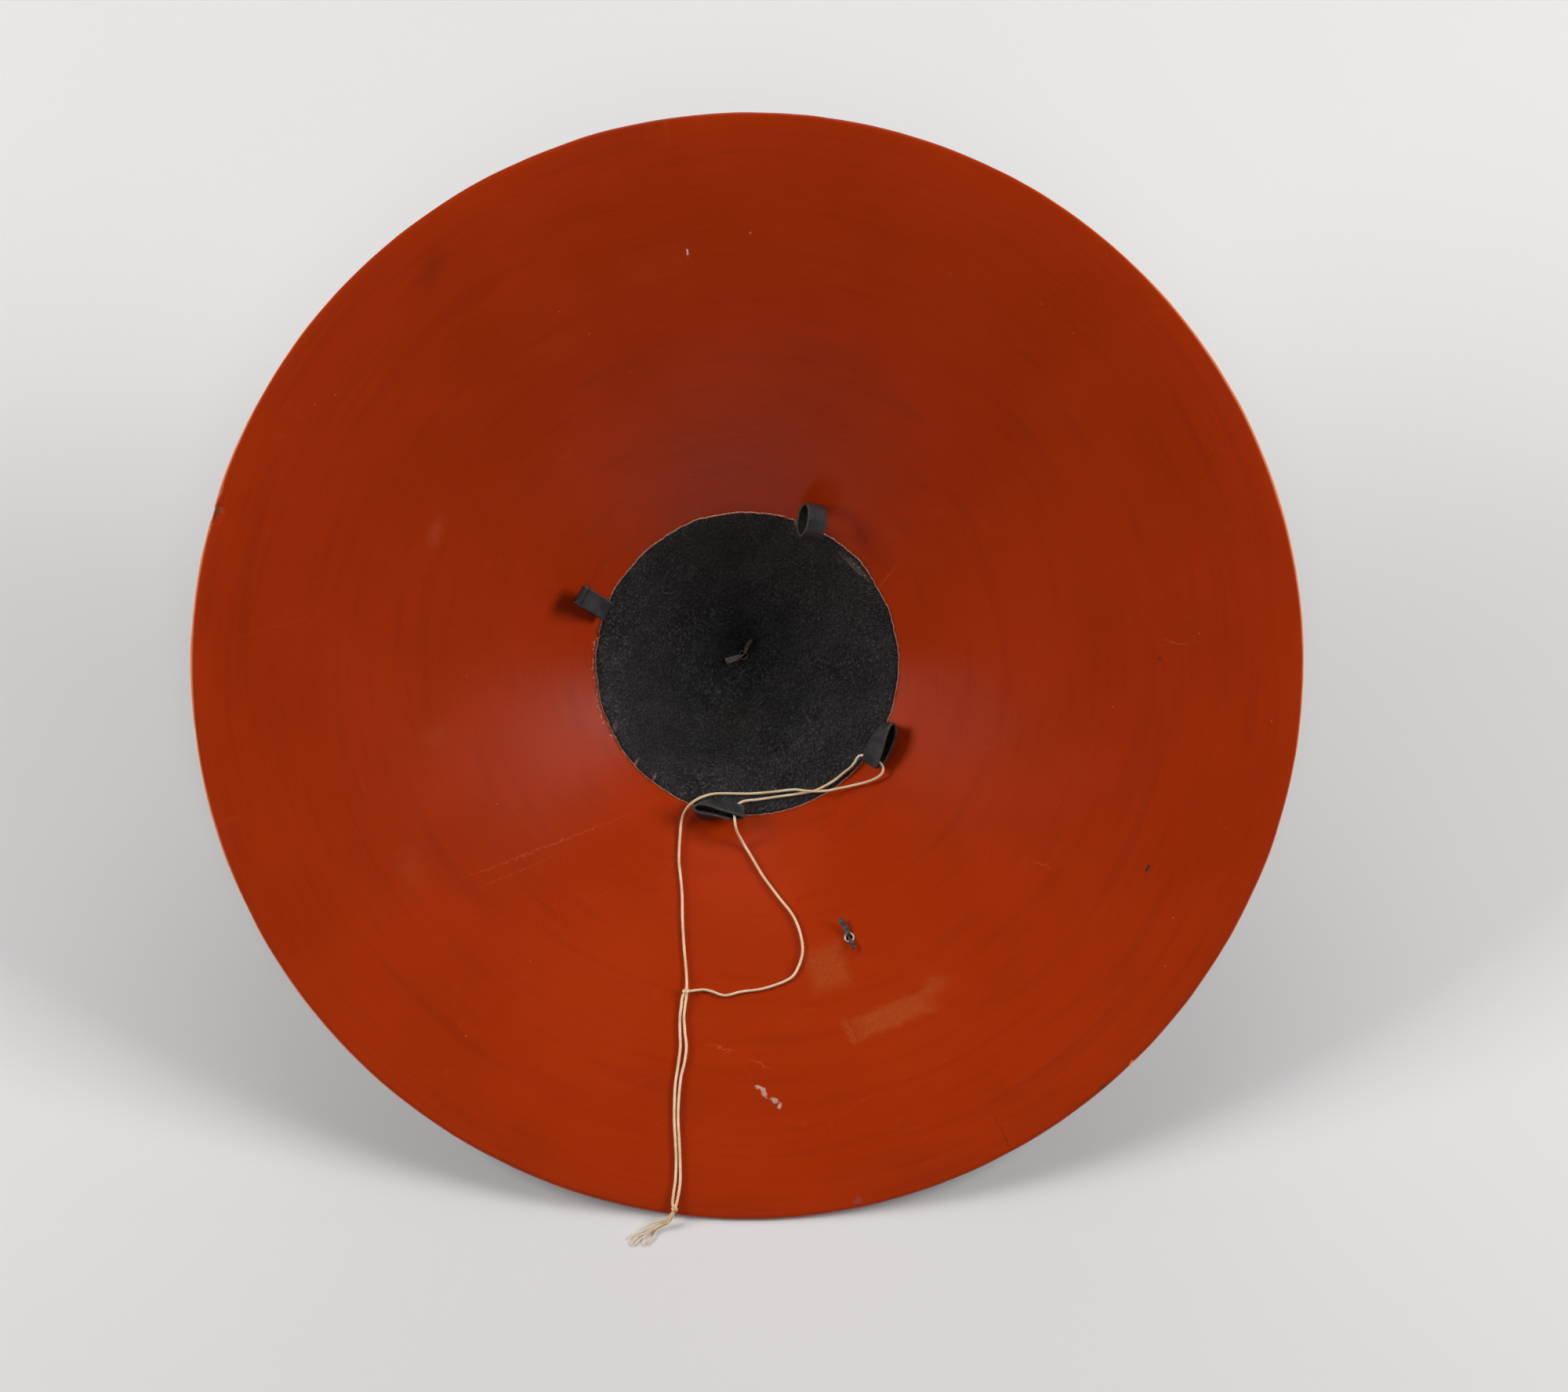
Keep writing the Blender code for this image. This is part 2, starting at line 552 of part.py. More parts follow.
def make_knot(knot, parent, finish):
    """Rounded lump of an overhand knot."""
    outward, around, normal = surface_axes(knot.x, knot.y)
    shape = bmesh.new()
    bmesh.ops.create_icosphere(shape, subdivisions=2, radius=MM)
    bmesh.ops.scale(shape, vec=(knot.long / 2, knot.wide / 2, knot.high / 2), verts=shape.verts)
    mesh = bpy.data.meshes.new(knot.name)
    shape.to_mesh(mesh)
    shape.free()
    mesh.shade_smooth()
    place = axes_matrix(lay_point(knot.x, knot.y, knot.lift), outward, normal)
    return add_object(knot.name, mesh, finish, parent, place)


def make_cord_ends(finish):
    """Flat fan around the frayed strands; it lies on the floor, so it has no part in the hat's tilt."""
    points = []
    for row in FRAYED_ENDS:
        side = Vector((-math.sin(math.radians(row.turn)), math.cos(math.radians(row.turn)), 0))
        for k in range(FRAY_SIDES):
            angle = math.tau * k / FRAY_SIDES
            out = side * row.wide / 2 * math.cos(angle) + Vector((0, 0, row.high / 2 * math.sin(angle)))
            points.append(Vector((row.x, row.y, row.z)) + out)
    count = len(FRAYED_ENDS)
    faces = [face[::-1] for face in ring_faces(count, FRAY_SIDES, False)]
    last = (count - 1) * FRAY_SIDES
    faces += [tuple(range(FRAY_SIDES)), tuple(last + k for k in reversed(range(FRAY_SIDES)))]
    return add_object("cord_ends", mesh_from("cord_ends", points, faces, sharp=60), finish, None)


def corners(piece):
    """Vertices of a mesh object in the hat's frame."""
    return [piece.matrix_local @ v.co for v in piece.data.vertices]


def rest_on_floor(hat, shell, boss):
    """Tilt the hat until boss and front rim touch one plane, and put that plane at z = 0."""
    boss_points = corners(boss)
    low = min(p.z for p in boss_points)
    toe = min((p for p in boss_points if p.z < low + 1e-6), key=lambda p: p.y)
    shell_points = corners(shell)
    rises = [(p.z - toe.z) / (toe.y - p.y) for p in shell_points if p.y < -RIM_RADIUS * MM / 2]
    hat.rotation_euler.x = math.atan(min(rises))
    turn = hat.rotation_euler.to_matrix()
    placed = [turn @ p for p in shell_points + boss_points]
    middle = [(min(p[i] for p in placed) + max(p[i] for p in placed)) / 2 for i in (0, 1)]
    hat.location = (-middle[0], -middle[1], -min(p.z for p in placed))


def clear_scene():
    """Remove whatever the scene holds."""
    for item in list(bpy.data.objects):
        bpy.data.objects.remove(item, do_unlink=True)


def main():
    """Build the hat."""
    clear_scene()
    lacquer = material("vermilion_lacquer", (0.27, 0.022, 0.004), 0.35)
    leather = material("black_leather", (0.02, 0.02, 0.021), 0.6)
    hide = material("brown_thong_leather", (0.07, 0.05, 0.045), 0.7)
    dark_metal = material("dark_brass", (0.12, 0.09, 0.06), 0.5, 1.0)
    pale_metal = material("white_metal", (0.75, 0.7, 0.6), 0.3, 1.0)
    cord = material("cream_cord", (0.78, 0.62, 0.42), 0.8)
    hat = bpy.data.objects.new("hat", None)
    bpy.context.scene.collection.objects.link(hat)
    shell = make_shell(hat, lacquer)
    make_pad(hat, leather)
    boss = make_crown_eyelet(hat, dark_metal)
    make_crown_thong(hat, hide)
    make_rear_eyelet(hat, pale_metal)
    make_rear_thong(hat, hide)
    for loop in OVAL_LOOPS:
        make_oval_loop(loop, hat, leather)
    make_bent_loop("ring_right", RIGHT_LOOP, hat, leather)
    make_bent_loop("ring_lower", LOWER_LOOP, hat, leather)
    make_cord("cord_left_upper", LEFT_UPPER, hat, cord)
    make_cord("cord_right_upper", RIGHT_UPPER, hat, cord)
    make_cord("cord_left_lower", LEFT_LOWER, hat, cord)
    make_cord("cord_right_lower", RIGHT_LOWER, hat, cord)
    for knot in KNOTS:
        make_knot(knot, hat, cord)
    make_cord_ends(cord)
    rest_on_floor(hat, shell, boss)
    cut_rear_hole(shell, hat)


main()
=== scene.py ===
"""Looks of the samurai war hat (jingasa): lacquered shell, leather crown pad, cord loops, cord and fittings.

Sizes are in millimetres in the hat's own frame, as in the part's source: the origin is the middle of the rim,
+Z is the way out of the opening and -Y is the front, where the rim touches the floor. The strands of the
frayed ends are in metres in the world's frame. The other meshes are made in the hat's frame and then moved.
"""

import json
import math
import random
from collections import namedtuple

import bmesh
import bpy
from mathutils import Matrix, Vector, noise


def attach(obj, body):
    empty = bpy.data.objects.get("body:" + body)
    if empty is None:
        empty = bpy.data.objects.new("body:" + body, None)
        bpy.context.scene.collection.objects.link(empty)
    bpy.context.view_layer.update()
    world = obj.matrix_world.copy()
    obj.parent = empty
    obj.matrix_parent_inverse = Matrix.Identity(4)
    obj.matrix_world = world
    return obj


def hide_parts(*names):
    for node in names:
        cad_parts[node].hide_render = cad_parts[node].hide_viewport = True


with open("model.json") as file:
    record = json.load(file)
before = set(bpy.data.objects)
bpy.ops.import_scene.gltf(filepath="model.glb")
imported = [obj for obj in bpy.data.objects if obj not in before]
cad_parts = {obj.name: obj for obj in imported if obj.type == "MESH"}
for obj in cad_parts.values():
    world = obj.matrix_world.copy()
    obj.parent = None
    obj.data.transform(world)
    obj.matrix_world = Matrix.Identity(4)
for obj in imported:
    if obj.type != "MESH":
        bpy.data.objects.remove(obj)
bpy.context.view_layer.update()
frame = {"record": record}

MM = 0.001

# Camera, by its angles off the hat's axis, at the photograph's angle
CAMERA_TARGET = (14.25, -11.43, 0.0)
CAMERA_SIDE = -1.50        # degrees off the hat's axis, to the side
CAMERA_RISE = 2.99         # degrees off the hat's axis, upward
CAMERA_DISTANCE = 2400.0
CAMERA_SENSOR = 36.0
VIEW_WIDTH = 635.13        # width of the view at the target

# Shell
RIM_RADIUS = 225.0
DEPTH = 118.0
CURVE_POWER = 1.35
APEX_ROUNDING = 3.0
SHELL_WALL = 2.6
LIP_STATION = 223.5
HOLE_RADIUS = 2.1
Ripple = namedtuple("Ripple", "waves size phase")
RIM_RIPPLES = (Ripple(2, 0.62, 14.6), Ripple(3, 0.31, 36.5))
RIM_CHIP = (-214.9, 62.3)  # where the lacquer has broken off the rim

# Pad
PAD_CENTRE = (0.87, -1.92)
PAD_RADIUS = 63.16
PAD_TOP = 1.7

# Fittings
BORE_RADIUS = 1.4
LIP_WIRE = 0.4
FERRULE_RADIUS = 1.75
BOSS_RADIUS = 16.0
BOSS_FACE_RADIUS = 12.0
BOSS_FLATS = 12
BOSS_SIDE = 2.8
BOSS_FACE_Z = -124.5
REAR_HOLE = (42.4, -113.7)
STUD_RADIUS = 5.0
STUD_FACE_RADIUS = 4.0
STUD_HEIGHT = 2.2
STUD_BACK = -3.05

# Strap loops
STRAP_WIDTH = 8.5
STRAP_THICKNESS = 1.1
STRAP_STATIONS = 150
STRAP_FLAT_STEPS = 10
STRAP_FIBRES = 240
CRUMPLE_START = 72         # station at the left end of the lower loop
CRUMPLE_ROWS = 50
CRUMPLE_COLUMNS = 18
Loop = namedtuple("Loop", "name x y lift length height along across")
UPPER_LOOP = Loop("loop_upper", 27.5, 57.9, 8.7, 13.4, 13.4, (0.10, 0.96, -0.20), (-0.94, 0.16, 0.29))
LEFT_LOOP = Loop("loop_left", -63.1, 23.9, 5.9, 19.0, 2.7, (-0.544, 0.345, 0.762), (0.49, 0.87, -0.07))
# The cord pulls the other two out of shape: plan places of the strap's low and high edge, round the loop
Station = namedtuple("Station", "low_x low_y low_lift high_x high_y")
RIGHT_LOOP = (
    Station(49.2, -41.9, 3.7, 54.4, -45.0),
    Station(49.0, -40.2, 6.5, 55.4, -42.9),
    Station(50.6, -35.4, 8.3, 57.1, -37.0),
    Station(53.4, -30.8, 7.5, 58.6, -31.4),
    Station(56.6, -27.6, 4.5, 60.2, -27.4),
    Station(58.4, -26.6, 2.5, 61.9, -26.4),
    Station(59.2, -29.2, 0.9, 62.8, -29.2),
    Station(56.8, -33.1, 0.9, 62.1, -33.5),
    Station(53.7, -37.3, 1.2, 60.0, -39.2),
    Station(50.8, -41.4, 1.2, 57.0, -44.0),
)
LOWER_LOOP = (
    Station(-1.0, -61.4, 4.5, -0.9, -65.4),
    Station(-4.6, -59.9, 6.6, -5.2, -63.9),
    Station(-10.4, -58.9, 6.4, -10.8, -62.2),
    Station(-15.6, -58.9, 5.8, -16.3, -60.2),
    Station(-19.4, -60.0, 4.6, -20.2, -60.0),
    Station(-20.9, -62.8, 3.2, -21.8, -61.4),
    Station(-19.0, -66.0, 2.0, -20.0, -62.9),
    Station(-15.0, -66.9, 1.8, -14.5, -63.9),
    Station(-9.2, -65.3, 2.3, -8.6, -65.6),
    Station(-4.2, -63.2, 2.5, -3.6, -66.6),
)
# Places where the straps come out from under the pad
Root = namedtuple("Root", "x y reach rise")
STRAP_ROOTS = (Root(25.0, 53.0, 5.0, 0.7), Root(-55.5, 19.0, 5.5, 0.9), Root(55.5, -30.0, 5.0, 0.6),
               Root(-12.0, -56.5, 6.0, 0.7))

# Pad surface
PAD_SEGMENTS = 720
PAD_RINGS = 112
PAD_CUT = ((0.26, 0.75), (0.48, 0.12))
PAD_UNDERSIDE = (0.95, 0.70, 0.50, 0.30, 0.15, 0.07, 0.03, 0.0)
PAD_UNDERSIDE_LIFT = 0.10
PAD_FIBRES = 620
PAD_FLAKES = 46
Notch = namedtuple("Notch", "angle width depth")
PAD_NOTCHES = (Notch(-138.2, 0.9, 1.6), Notch(-129.1, 0.7, 1.3), Notch(-147.0, 0.5, 0.7),
               Notch(171.0, 0.6, 0.8))

# Shell surface
SHELL_SEGMENTS = 480
CHIP_REFINEMENT = 6
CHIP_REACH = 0.045

# Colours, linear
LACQUER_DEEP = (0.395, 0.031, 0.0021)
LACQUER_BRIGHT = (0.430, 0.034, 0.0029)
LACQUER_SHADE = (0.20, 0.020, 0.006)
LACQUER_WORN = (0.55, 0.10, 0.030)
LACQUER_SPECK = (0.75, 0.22, 0.06)
# Rim edge colour: partly wear, partly painted highlight of the lit edge.
LACQUER_EDGE_AND_HIGHLIGHT = (0.80, 0.26, 0.09)
FLOOR_LOW = (0.76, 0.755, 0.765)
FLOOR_HIGH = (0.80, 0.795, 0.805)
SURROUND = (0.90, 0.93, 1.0)
SURROUND_STRENGTH = 0.03

# Marks on the vermilion face. Cover is how much of the mark shows through its own texture
Mark = namedtuple("Mark", "x y turn long wide edge cover amount colour square", defaults=(False,))
RUB = (0.50, 0.17, 0.048)
# Pale colour for nicks and spots, also used for a painted highlight at the rim's chip.
PALE_AND_HIGHLIGHT = (0.62, 0.42, 0.36)
DARK = (0.10, 0.018, 0.010)
BARE = (0.035, 0.034, 0.033)
MARKS = (
    Mark(33.0, -125.5, 17, 15.0, 15.5, 0.50, 0.5, 0.24, RUB, True),
    Mark(59.5, -143.8, 22, 32.0, 8.6, 0.42, 0.4, 0.34, RUB, True),
    Mark(41.6, -150.4, -62, 9.5, 2.2, 0.50, 0.5, 0.20, RUB, True),
    Mark(42.8, -149.7, -62, 9.5, 0.7, 0.60, 0.7, 0.14, DARK, True),
    Mark(77.5, -131.5, 28, 10.0, 6.0, 0.70, 0.4, 0.20, RUB),
    Mark(4.6, -172.6, -30, 3.2, 1.6, 0.35, 0.8, 0.80, PALE_AND_HIGHLIGHT),
    Mark(6.6, -174.6, -50, 4.2, 1.6, 0.35, 0.7, 0.75, PALE_AND_HIGHLIGHT),
    Mark(10.6, -177.6, -48, 2.8, 1.6, 0.35, 0.7, 0.75, PALE_AND_HIGHLIGHT),
    Mark(13.0, -179.9, -40, 2.2, 1.7, 0.35, 0.8, 0.80, PALE_AND_HIGHLIGHT),
    Mark(162.6, -82.7, 60, 2.2, 1.1, 0.35, 1.0, 0.95, BARE),
    Mark(-24.5, 168.1, 100, 2.3, 0.9, 0.30, 1.0, 0.95, (0.85, 0.72, 0.62)),
    Mark(1.3, 176.3, 80, 1.0, 0.6, 0.35, 1.0, 0.85, (0.80, 0.60, 0.45)),
    Mark(121.4, -82.6, -25, 7.0, 0.35, 0.50, 1.0, 0.70, LACQUER_WORN),
    Mark(174.8, 9.3, -13, 9.6, 0.45, 0.50, 1.0, 0.55, LACQUER_WORN),
    Mark(58.7, 33.8, 51, 15.0, 0.40, 0.50, 1.0, 0.60, LACQUER_WORN),
    Mark(-83.0, -76.1, 18.8, 72.0, 0.45, 0.50, 0.6, 0.55, LACQUER_WORN),
    Mark(-95.0, -86.0, 21, 30.0, 0.35, 0.50, 0.5, 0.45, LACQUER_WORN),
    Mark(-11.7, -157.0, -12, 11.5, 0.40, 0.50, 0.8, 0.55, LACQUER_WORN),
    Mark(-8.0, -158.6, 20, 6.0, 0.40, 0.50, 0.8, 0.50, LACQUER_WORN),
    Mark(6.0, -163.7, -22, 11.0, 0.40, 0.50, 0.8, 0.50, LACQUER_WORN),
    Mark(168.5, 2.5, -35, 2.8, 1.2, 0.50, 0.7, 0.55, DARK),
    Mark(-127.8, 53.7, 70, 12.0, 5.0, 0.80, 0.6, 0.13, (0.60, 0.22, 0.10)),
    Mark(-137.4, -82.2, 120, 16.0, 10.0, 0.90, 0.4, 0.10, RUB),
    Mark(-128.1, -30.1, 10, 12.0, 8.0, 0.90, 0.4, 0.10, RUB),
    Mark(-128.1, 160.5, 60, 16.0, 7.0, 0.80, 0.6, 0.28, DARK),
    Mark(44.3, -216.8, 20, 3.4, 2.4, 0.50, 0.6, 0.55, (0.30, 0.08, 0.10)),
    Mark(103.9, -190.9, -63, 14.6, 0.30, 0.50, 1.0, 0.75, DARK),
    Mark(-215.4, 62.6, 64, 7.4, 1.7, 0.50, 0.6, 0.90, BARE),
    Mark(-213.0, 64.2, -40, 3.0, 1.6, 0.70, 0.4, 0.30, (0.30, 0.15, 0.10)),
    Mark(-212.5, 72.6, 72, 6.0, 0.8, 0.60, 0.3, 0.45, PALE_AND_HIGHLIGHT),
    # Pale streak on the rim's edge at the chip's lower end: painted highlight.
    Mark(-217.6, 57.0, 74, 5.0, 0.7, 0.60, 0.4, 0.40, PALE_AND_HIGHLIGHT),
    Mark(155.7, -161.3, 44, 2.6, 1.6, 0.40, 0.9, 0.90, LACQUER_EDGE_AND_HIGHLIGHT),
    Mark(144.8, -170.9, 40, 5.0, 1.8, 0.50, 0.5, 0.85, BARE),
)
PAD_MARKS = (
    Mark(0.0, 0.0, 0, 150.0, 150.0, 0.05, 1.0, 0.08, (0.10, 0.10, 0.10)),
    Mark(-45.6, -43.2, 58, 4.0, 1.0, 0.70, 0.45, 0.70, (0.50, 0.30, 0.28)),
    Mark(-38.1, -49.6, 66, 3.8, 0.9, 0.70, 0.45, 0.70, (0.48, 0.29, 0.27)),
    Mark(-55.5, -30.0, 62, 9.0, 2.0, 0.70, 0.4, 0.35, (0.40, 0.24, 0.24)),
    Mark(46.0, 38.5, 135, 14.0, 2.0, 0.60, 0.4, 0.50, (0.36, 0.28, 0.20)),
    Mark(21.5, 56.5, 100, 3.0, 1.6, 0.50, 0.5, 0.75, (0.40, 0.26, 0.14)),
    Mark(-2.0, -25.0, 15, 26.0, 10.0, 0.80, 0.3, 0.30, (0.060, 0.045, 0.030)),
    Mark(18.0, -10.0, 20, 24.0, 9.0, 0.80, 0.3, 0.25, (0.055, 0.045, 0.035)),
)

# Cord
CORD_DIAMETER = 1.2
CORD_STEP = 0.33
CORD_SIDES = 18
CORD_PLIES = 3
CORD_PITCH = 3.4
CORD_FIBRES = 260
# Cord: plan place and lift of the centre above the bare inner face, from the right loop's bight
LEFT_UPPER = (
    (52.8, -41.1, 4.0), (54.5, -42.0, 4.1), (56.2, -43.1, 4.1),
    (57.2, -44.7, 3.8), (57.1, -46.6, 3.4), (55.8, -48.3, 3.0),
    (53.4, -49.8, 2.6), (49.8, -51.2, 2.3), (43.0, -53.0, 2.2),
    (39.0, -53.8, 2.9), (34.6, -54.7, 3.9), (31.0, -55.0, 4.4),
    (28.3, -55.1, 4.5), (24.6, -54.9, 4.3), (20.5, -54.6, 3.2),
    (13.0, -55.5, 2.8), (2.6, -56.4, 2.8), (-8.0, -56.3, 2.8),
    (-13.0, -56.4, 2.8), (-16.9, -57.2, 2.8), (-20.6, -58.7, 3.0),
    (-23.6, -61.0, 2.9), (-25.6, -63.9, 2.2), (-26.7, -67.4, 1.6),
    (-27.2, -71.4, 1.2), (-27.7, -78.2, 1.0), (-27.8, -83.8, 1.0),
    (-27.2, -89.4, 1.0), (-26.6, -96.9, 1.0), (-26.5, -106.2, 1.0),
    (-25.9, -117.4, 1.0), (-25.1, -126.6, 1.0), (-24.9, -132.8, 1.5),
)
RIGHT_UPPER = (
    (52.4, -41.3, 3.9), (50.3, -40.4, 3.8), (48.5, -40.1, 3.8),
    (46.9, -41.0, 3.6), (45.8, -43.0, 3.3), (44.0, -45.2, 3.1),
    (41.1, -47.5, 2.9), (36.8, -50.9, 2.8), (31.3, -54.0, 2.7),
    (27.7, -55.3, 2.7), (21.3, -56.5, 2.7), (15.0, -57.4, 2.7),
    (8.0, -58.4, 2.7), (4.2, -58.9, 2.9), (1.2, -59.1, 3.3),
    (-1.6, -59.7, 3.8), (-3.6, -61.2, 4.5), (-4.4, -63.0, 6.2),
    (-4.6, -64.6, 8.1), (-4.6, -66.0, 9.4), (-4.5, -67.3, 9.9),
    (-4.3, -68.7, 9.7), (-4.0, -70.0, 8.9), (-3.6, -71.3, 7.6),
    (-3.1, -72.5, 6.1), (-2.5, -73.6, 4.6), (-1.9, -74.7, 3.3),
    (-1.2, -75.9, 2.1), (-0.4, -77.3, 1.3), (0.6, -78.9, 1.1),
    (1.9, -80.9, 1.0), (5.3, -86.6, 1.0), (7.7, -90.3, 1.0),
    (13.4, -97.7, 1.0), (19.3, -105.1, 1.0), (22.3, -112.6, 1.0),
    (22.9, -120.0, 1.0), (20.0, -127.4, 1.0), (15.8, -130.8, 1.0),
    (6.4, -133.9, 1.0), (-2.6, -135.1, 1.0), (-9.2, -136.5, 1.0),
    (-14.3, -135.0, 1.0), (-18.0, -134.2, 1.0), (-23.6, -134.6, 1.4),
)
LEFT_LOWER = (
    (-26.7, -136.8, 1.4), (-27.3, -141.0, 1.1), (-27.8, -145.0, 1.0),
    (-27.8, -151.0, 1.0), (-27.7, -156.5, 1.0), (-28.7, -164.0, 1.0),
    (-29.8, -171.0, 1.0), (-30.2, -178.0, 1.0), (-30.3, -185.5, 1.0),
    (-29.9, -193.0, 1.0), (-29.6, -200.6, 1.0), (-29.9, -208.3, 1.0),
    (-30.6, -213.3, 1.1), (-31.1, -218.0, 1.5),
)
RIGHT_LOWER = (
    (-25.1, -136.7, 1.4), (-25.7, -141.0, 1.1), (-26.1, -145.0, 1.0),
    (-25.7, -151.0, 1.0), (-25.2, -156.5, 1.0), (-26.0, -162.5, 1.0),
    (-27.5, -168.5, 1.0), (-28.5, -178.0, 1.0), (-28.7, -185.5, 1.0),
    (-28.3, -193.0, 1.0), (-28.0, -200.6, 1.0), (-27.9, -208.3, 1.0),
    (-28.5, -213.3, 1.1), (-29.5, -218.0, 1.5),
)
Knot = namedtuple("Knot", "x y lift wide long high turn")
UPPER_KNOT = Knot(-25.4, -134.7, 1.8, 2.9, 3.5, 2.6, 0)
LOWER_KNOT = Knot(-30.3, -219.8, 1.8, 2.7, 3.3, 2.6, 25)
KNOT_STEPS = 90
KNOT_STRAND = 0.55
CURVE_STEPS = 24           # points between two route points
OVAL_STEPS = 48

# Frayed ends, in metres in the world's frame: over the rim's edge and fanned out on the floor
STRAND_RADIUS = 0.42
STRAND_PITCH = 2.2
TIP_FIBRES = 7
STRAND_STEP = 0.35
FRAYED_STRANDS = (
    ((-0.0303, -0.1921, 0.0052), (-0.0321, -0.1944, 0.0046), (-0.0343, -0.1960, 0.0034),
     (-0.0396, -0.1970, 0.0020), (-0.0447, -0.1998, 0.0008), (-0.0483, -0.2021, 0.0006),
     (-0.0482, -0.2028, 0.0006)),
    ((-0.0302, -0.1921, 0.0050), (-0.0318, -0.1948, 0.0043), (-0.0340, -0.1966, 0.0030),
     (-0.0380, -0.1975, 0.0016), (-0.0421, -0.2005, 0.0007), (-0.0456, -0.2022, 0.0006),
     (-0.0476, -0.2042, 0.0006), (-0.0471, -0.2055, 0.0006)),
    ((-0.0303, -0.1920, 0.0048), (-0.0320, -0.1951, 0.0040), (-0.0339, -0.1967, 0.0026),
     (-0.0374, -0.1981, 0.0014), (-0.0412, -0.2009, 0.0007), (-0.0447, -0.2035, 0.0006),
     (-0.0469, -0.2057, 0.0006)),
    ((-0.0301, -0.1919, 0.0050), (-0.0316, -0.1950, 0.0044), (-0.0333, -0.1972, 0.0034),
     (-0.0370, -0.1984, 0.0020), (-0.0412, -0.2008, 0.0011), (-0.0425, -0.2022, 0.0008),
     (-0.0428, -0.2045, 0.0006), (-0.0423, -0.2056, 0.0006)),
    ((-0.0300, -0.1920, 0.0046), (-0.0310, -0.1950, 0.0038), (-0.0327, -0.1970, 0.0026),
     (-0.0364, -0.1984, 0.0012), (-0.0380, -0.2005, 0.0007), (-0.0390, -0.2028, 0.0006),
     (-0.0418, -0.2059, 0.0006)),
)

# Laces: middle of each section, direction of its width, its width and its thickness
CROWN_LACE_LIFT = 0.55
TURNED_SEGMENTS = 144

# Lights, by direction from the hat in its own frame. Glossy says whether the lamp shows in reflections
Light = namedtuple("Light", "name direction distance wide high power glossy")
LIGHTS = (
    Light("key_left", (-0.87, 0.27, 0.41), 2000, 1100, 700, 25.8, False),
    Light("key_right", (0.865, 0.27, 0.42), 2000, 1100, 700, 25.5, False),
    Light("top", (0.0, 0.945, 0.325), 2000, 1500, 800, 9.0, False),
    Light("front", (0.0, -0.02, 1.0), 2700, 500, 500, 7.0, False),
    Light("glow_left", (-0.90, 0.28, 0.33), 2000, 700, 300, 0.8, True),
    Light("glow_right", (0.89, 0.34, 0.32), 2000, 900, 300, 4.0, True),
    Light("back", (0.0, 1.0, -0.06), 2200, 1500, 500, 8.0, True),
)
LIGHT_COLOUR = (1.0, 0.98, 0.96)
FLOOR_SIDE = 9000.0


def hat_placement():
    """Tilt and place of the hat, from the mount on the face of its crown boss."""
    mount = next(m for m in frame["record"]["mounts"] if m["name"] == "crown_boss_face")
    tilt = Matrix.Rotation(math.atan2(mount["axis"][1], -mount["axis"][2]), 4, 'X')
    place = Vector(mount["pos_m"]) - tilt @ Vector((0, 0, BOSS_FACE_Z * MM))
    return Matrix.Translation(place) @ tilt


def soft(r):
    """Radius rounded off near the apex."""
    return math.hypot(r, APEX_ROUNDING) - APEX_ROUNDING


def inner_height(r):
    """Height of the shell's inner face at a profile radius."""
    return -DEPTH * max(0.0, 1 - soft(r) / soft(RIM_RADIUS)) ** CURVE_POWER


def inner_slope(r):
    """Slope of the inner face along the radius."""
    reach = soft(RIM_RADIUS)
    bend = max(0.0, 1 - soft(r) / reach) ** (CURVE_POWER - 1)
    return DEPTH * CURVE_POWER / reach * bend * r / math.hypot(r, APEX_ROUNDING)


def offset(r, lift):
    """Profile point at radius r moved off the inner face along its normal."""
    slope = inner_slope(r)
    length = math.hypot(1, slope)
    return r - lift * slope / length, inner_height(r) + lift / length


def rim_ripple(angle):
    """How far the hand-made rim stands out of round at a polar angle."""
    return sum(w.size * math.cos(w.waves * (angle - math.radians(w.phase))) for w in RIM_RIPPLES)


def lay_point(x, y, lift):
    """Point over a plan place, lifted off the inner face along its normal."""
    r = math.hypot(x, y)
    r -= rim_ripple(math.atan2(y, x)) * (r / RIM_RADIUS) ** 2
    return Vector((x, y, inner_height(r) + lift * math.hypot(1, inner_slope(r))))


def surface_axes(x, y):
    """Axes at a plan place: outward along the face, around the hat, and off the face."""
    angle = math.atan2(y, x)
    tilt = math.atan(inner_slope(math.hypot(x, y)))
    outward = Vector((math.cos(angle) * math.cos(tilt), math.sin(angle) * math.cos(tilt), math.sin(tilt)))
    around = Vector((-math.sin(angle), math.cos(angle), 0))
    return outward, around, outward.cross(around)


def curve_point(points, k, t):
    """Catmull-Rom point between point k and the next of a closed list."""
    a, b, c, d = (points[(k + i) % len(points)] for i in (-1, 0, 1, 2))
    bend = 2 * a - 5 * b + 4 * c - d
    twist = 3 * b - a - 3 * c + d
    return 0.5 * (2 * b + (c - a) * t + bend * t * t + twist * t ** 3)


def smooth_line(points, step):
    """Points at even distances along the smooth curve through an open list of points."""
    points = [2 * points[0] - points[1]] + list(points) + [2 * points[-1] - points[-2]]
    dense = [curve_point(points, k, n / CURVE_STEPS) for k in range(1, len(points) - 2)
             for n in range(CURVE_STEPS)]
    return even_steps(dense + [points[-2]], step)


def smooth_loop(points, count):
    """Evenly spaced points along the smooth closed curve through the points."""
    dense = [curve_point(points, k, n / CURVE_STEPS) for k in range(len(points)) for n in range(CURVE_STEPS)]
    dense.append(dense[0])
    length = sum((b - a).length for a, b in zip(dense, dense[1:]))
    return even_steps(dense, length / count)[:count]


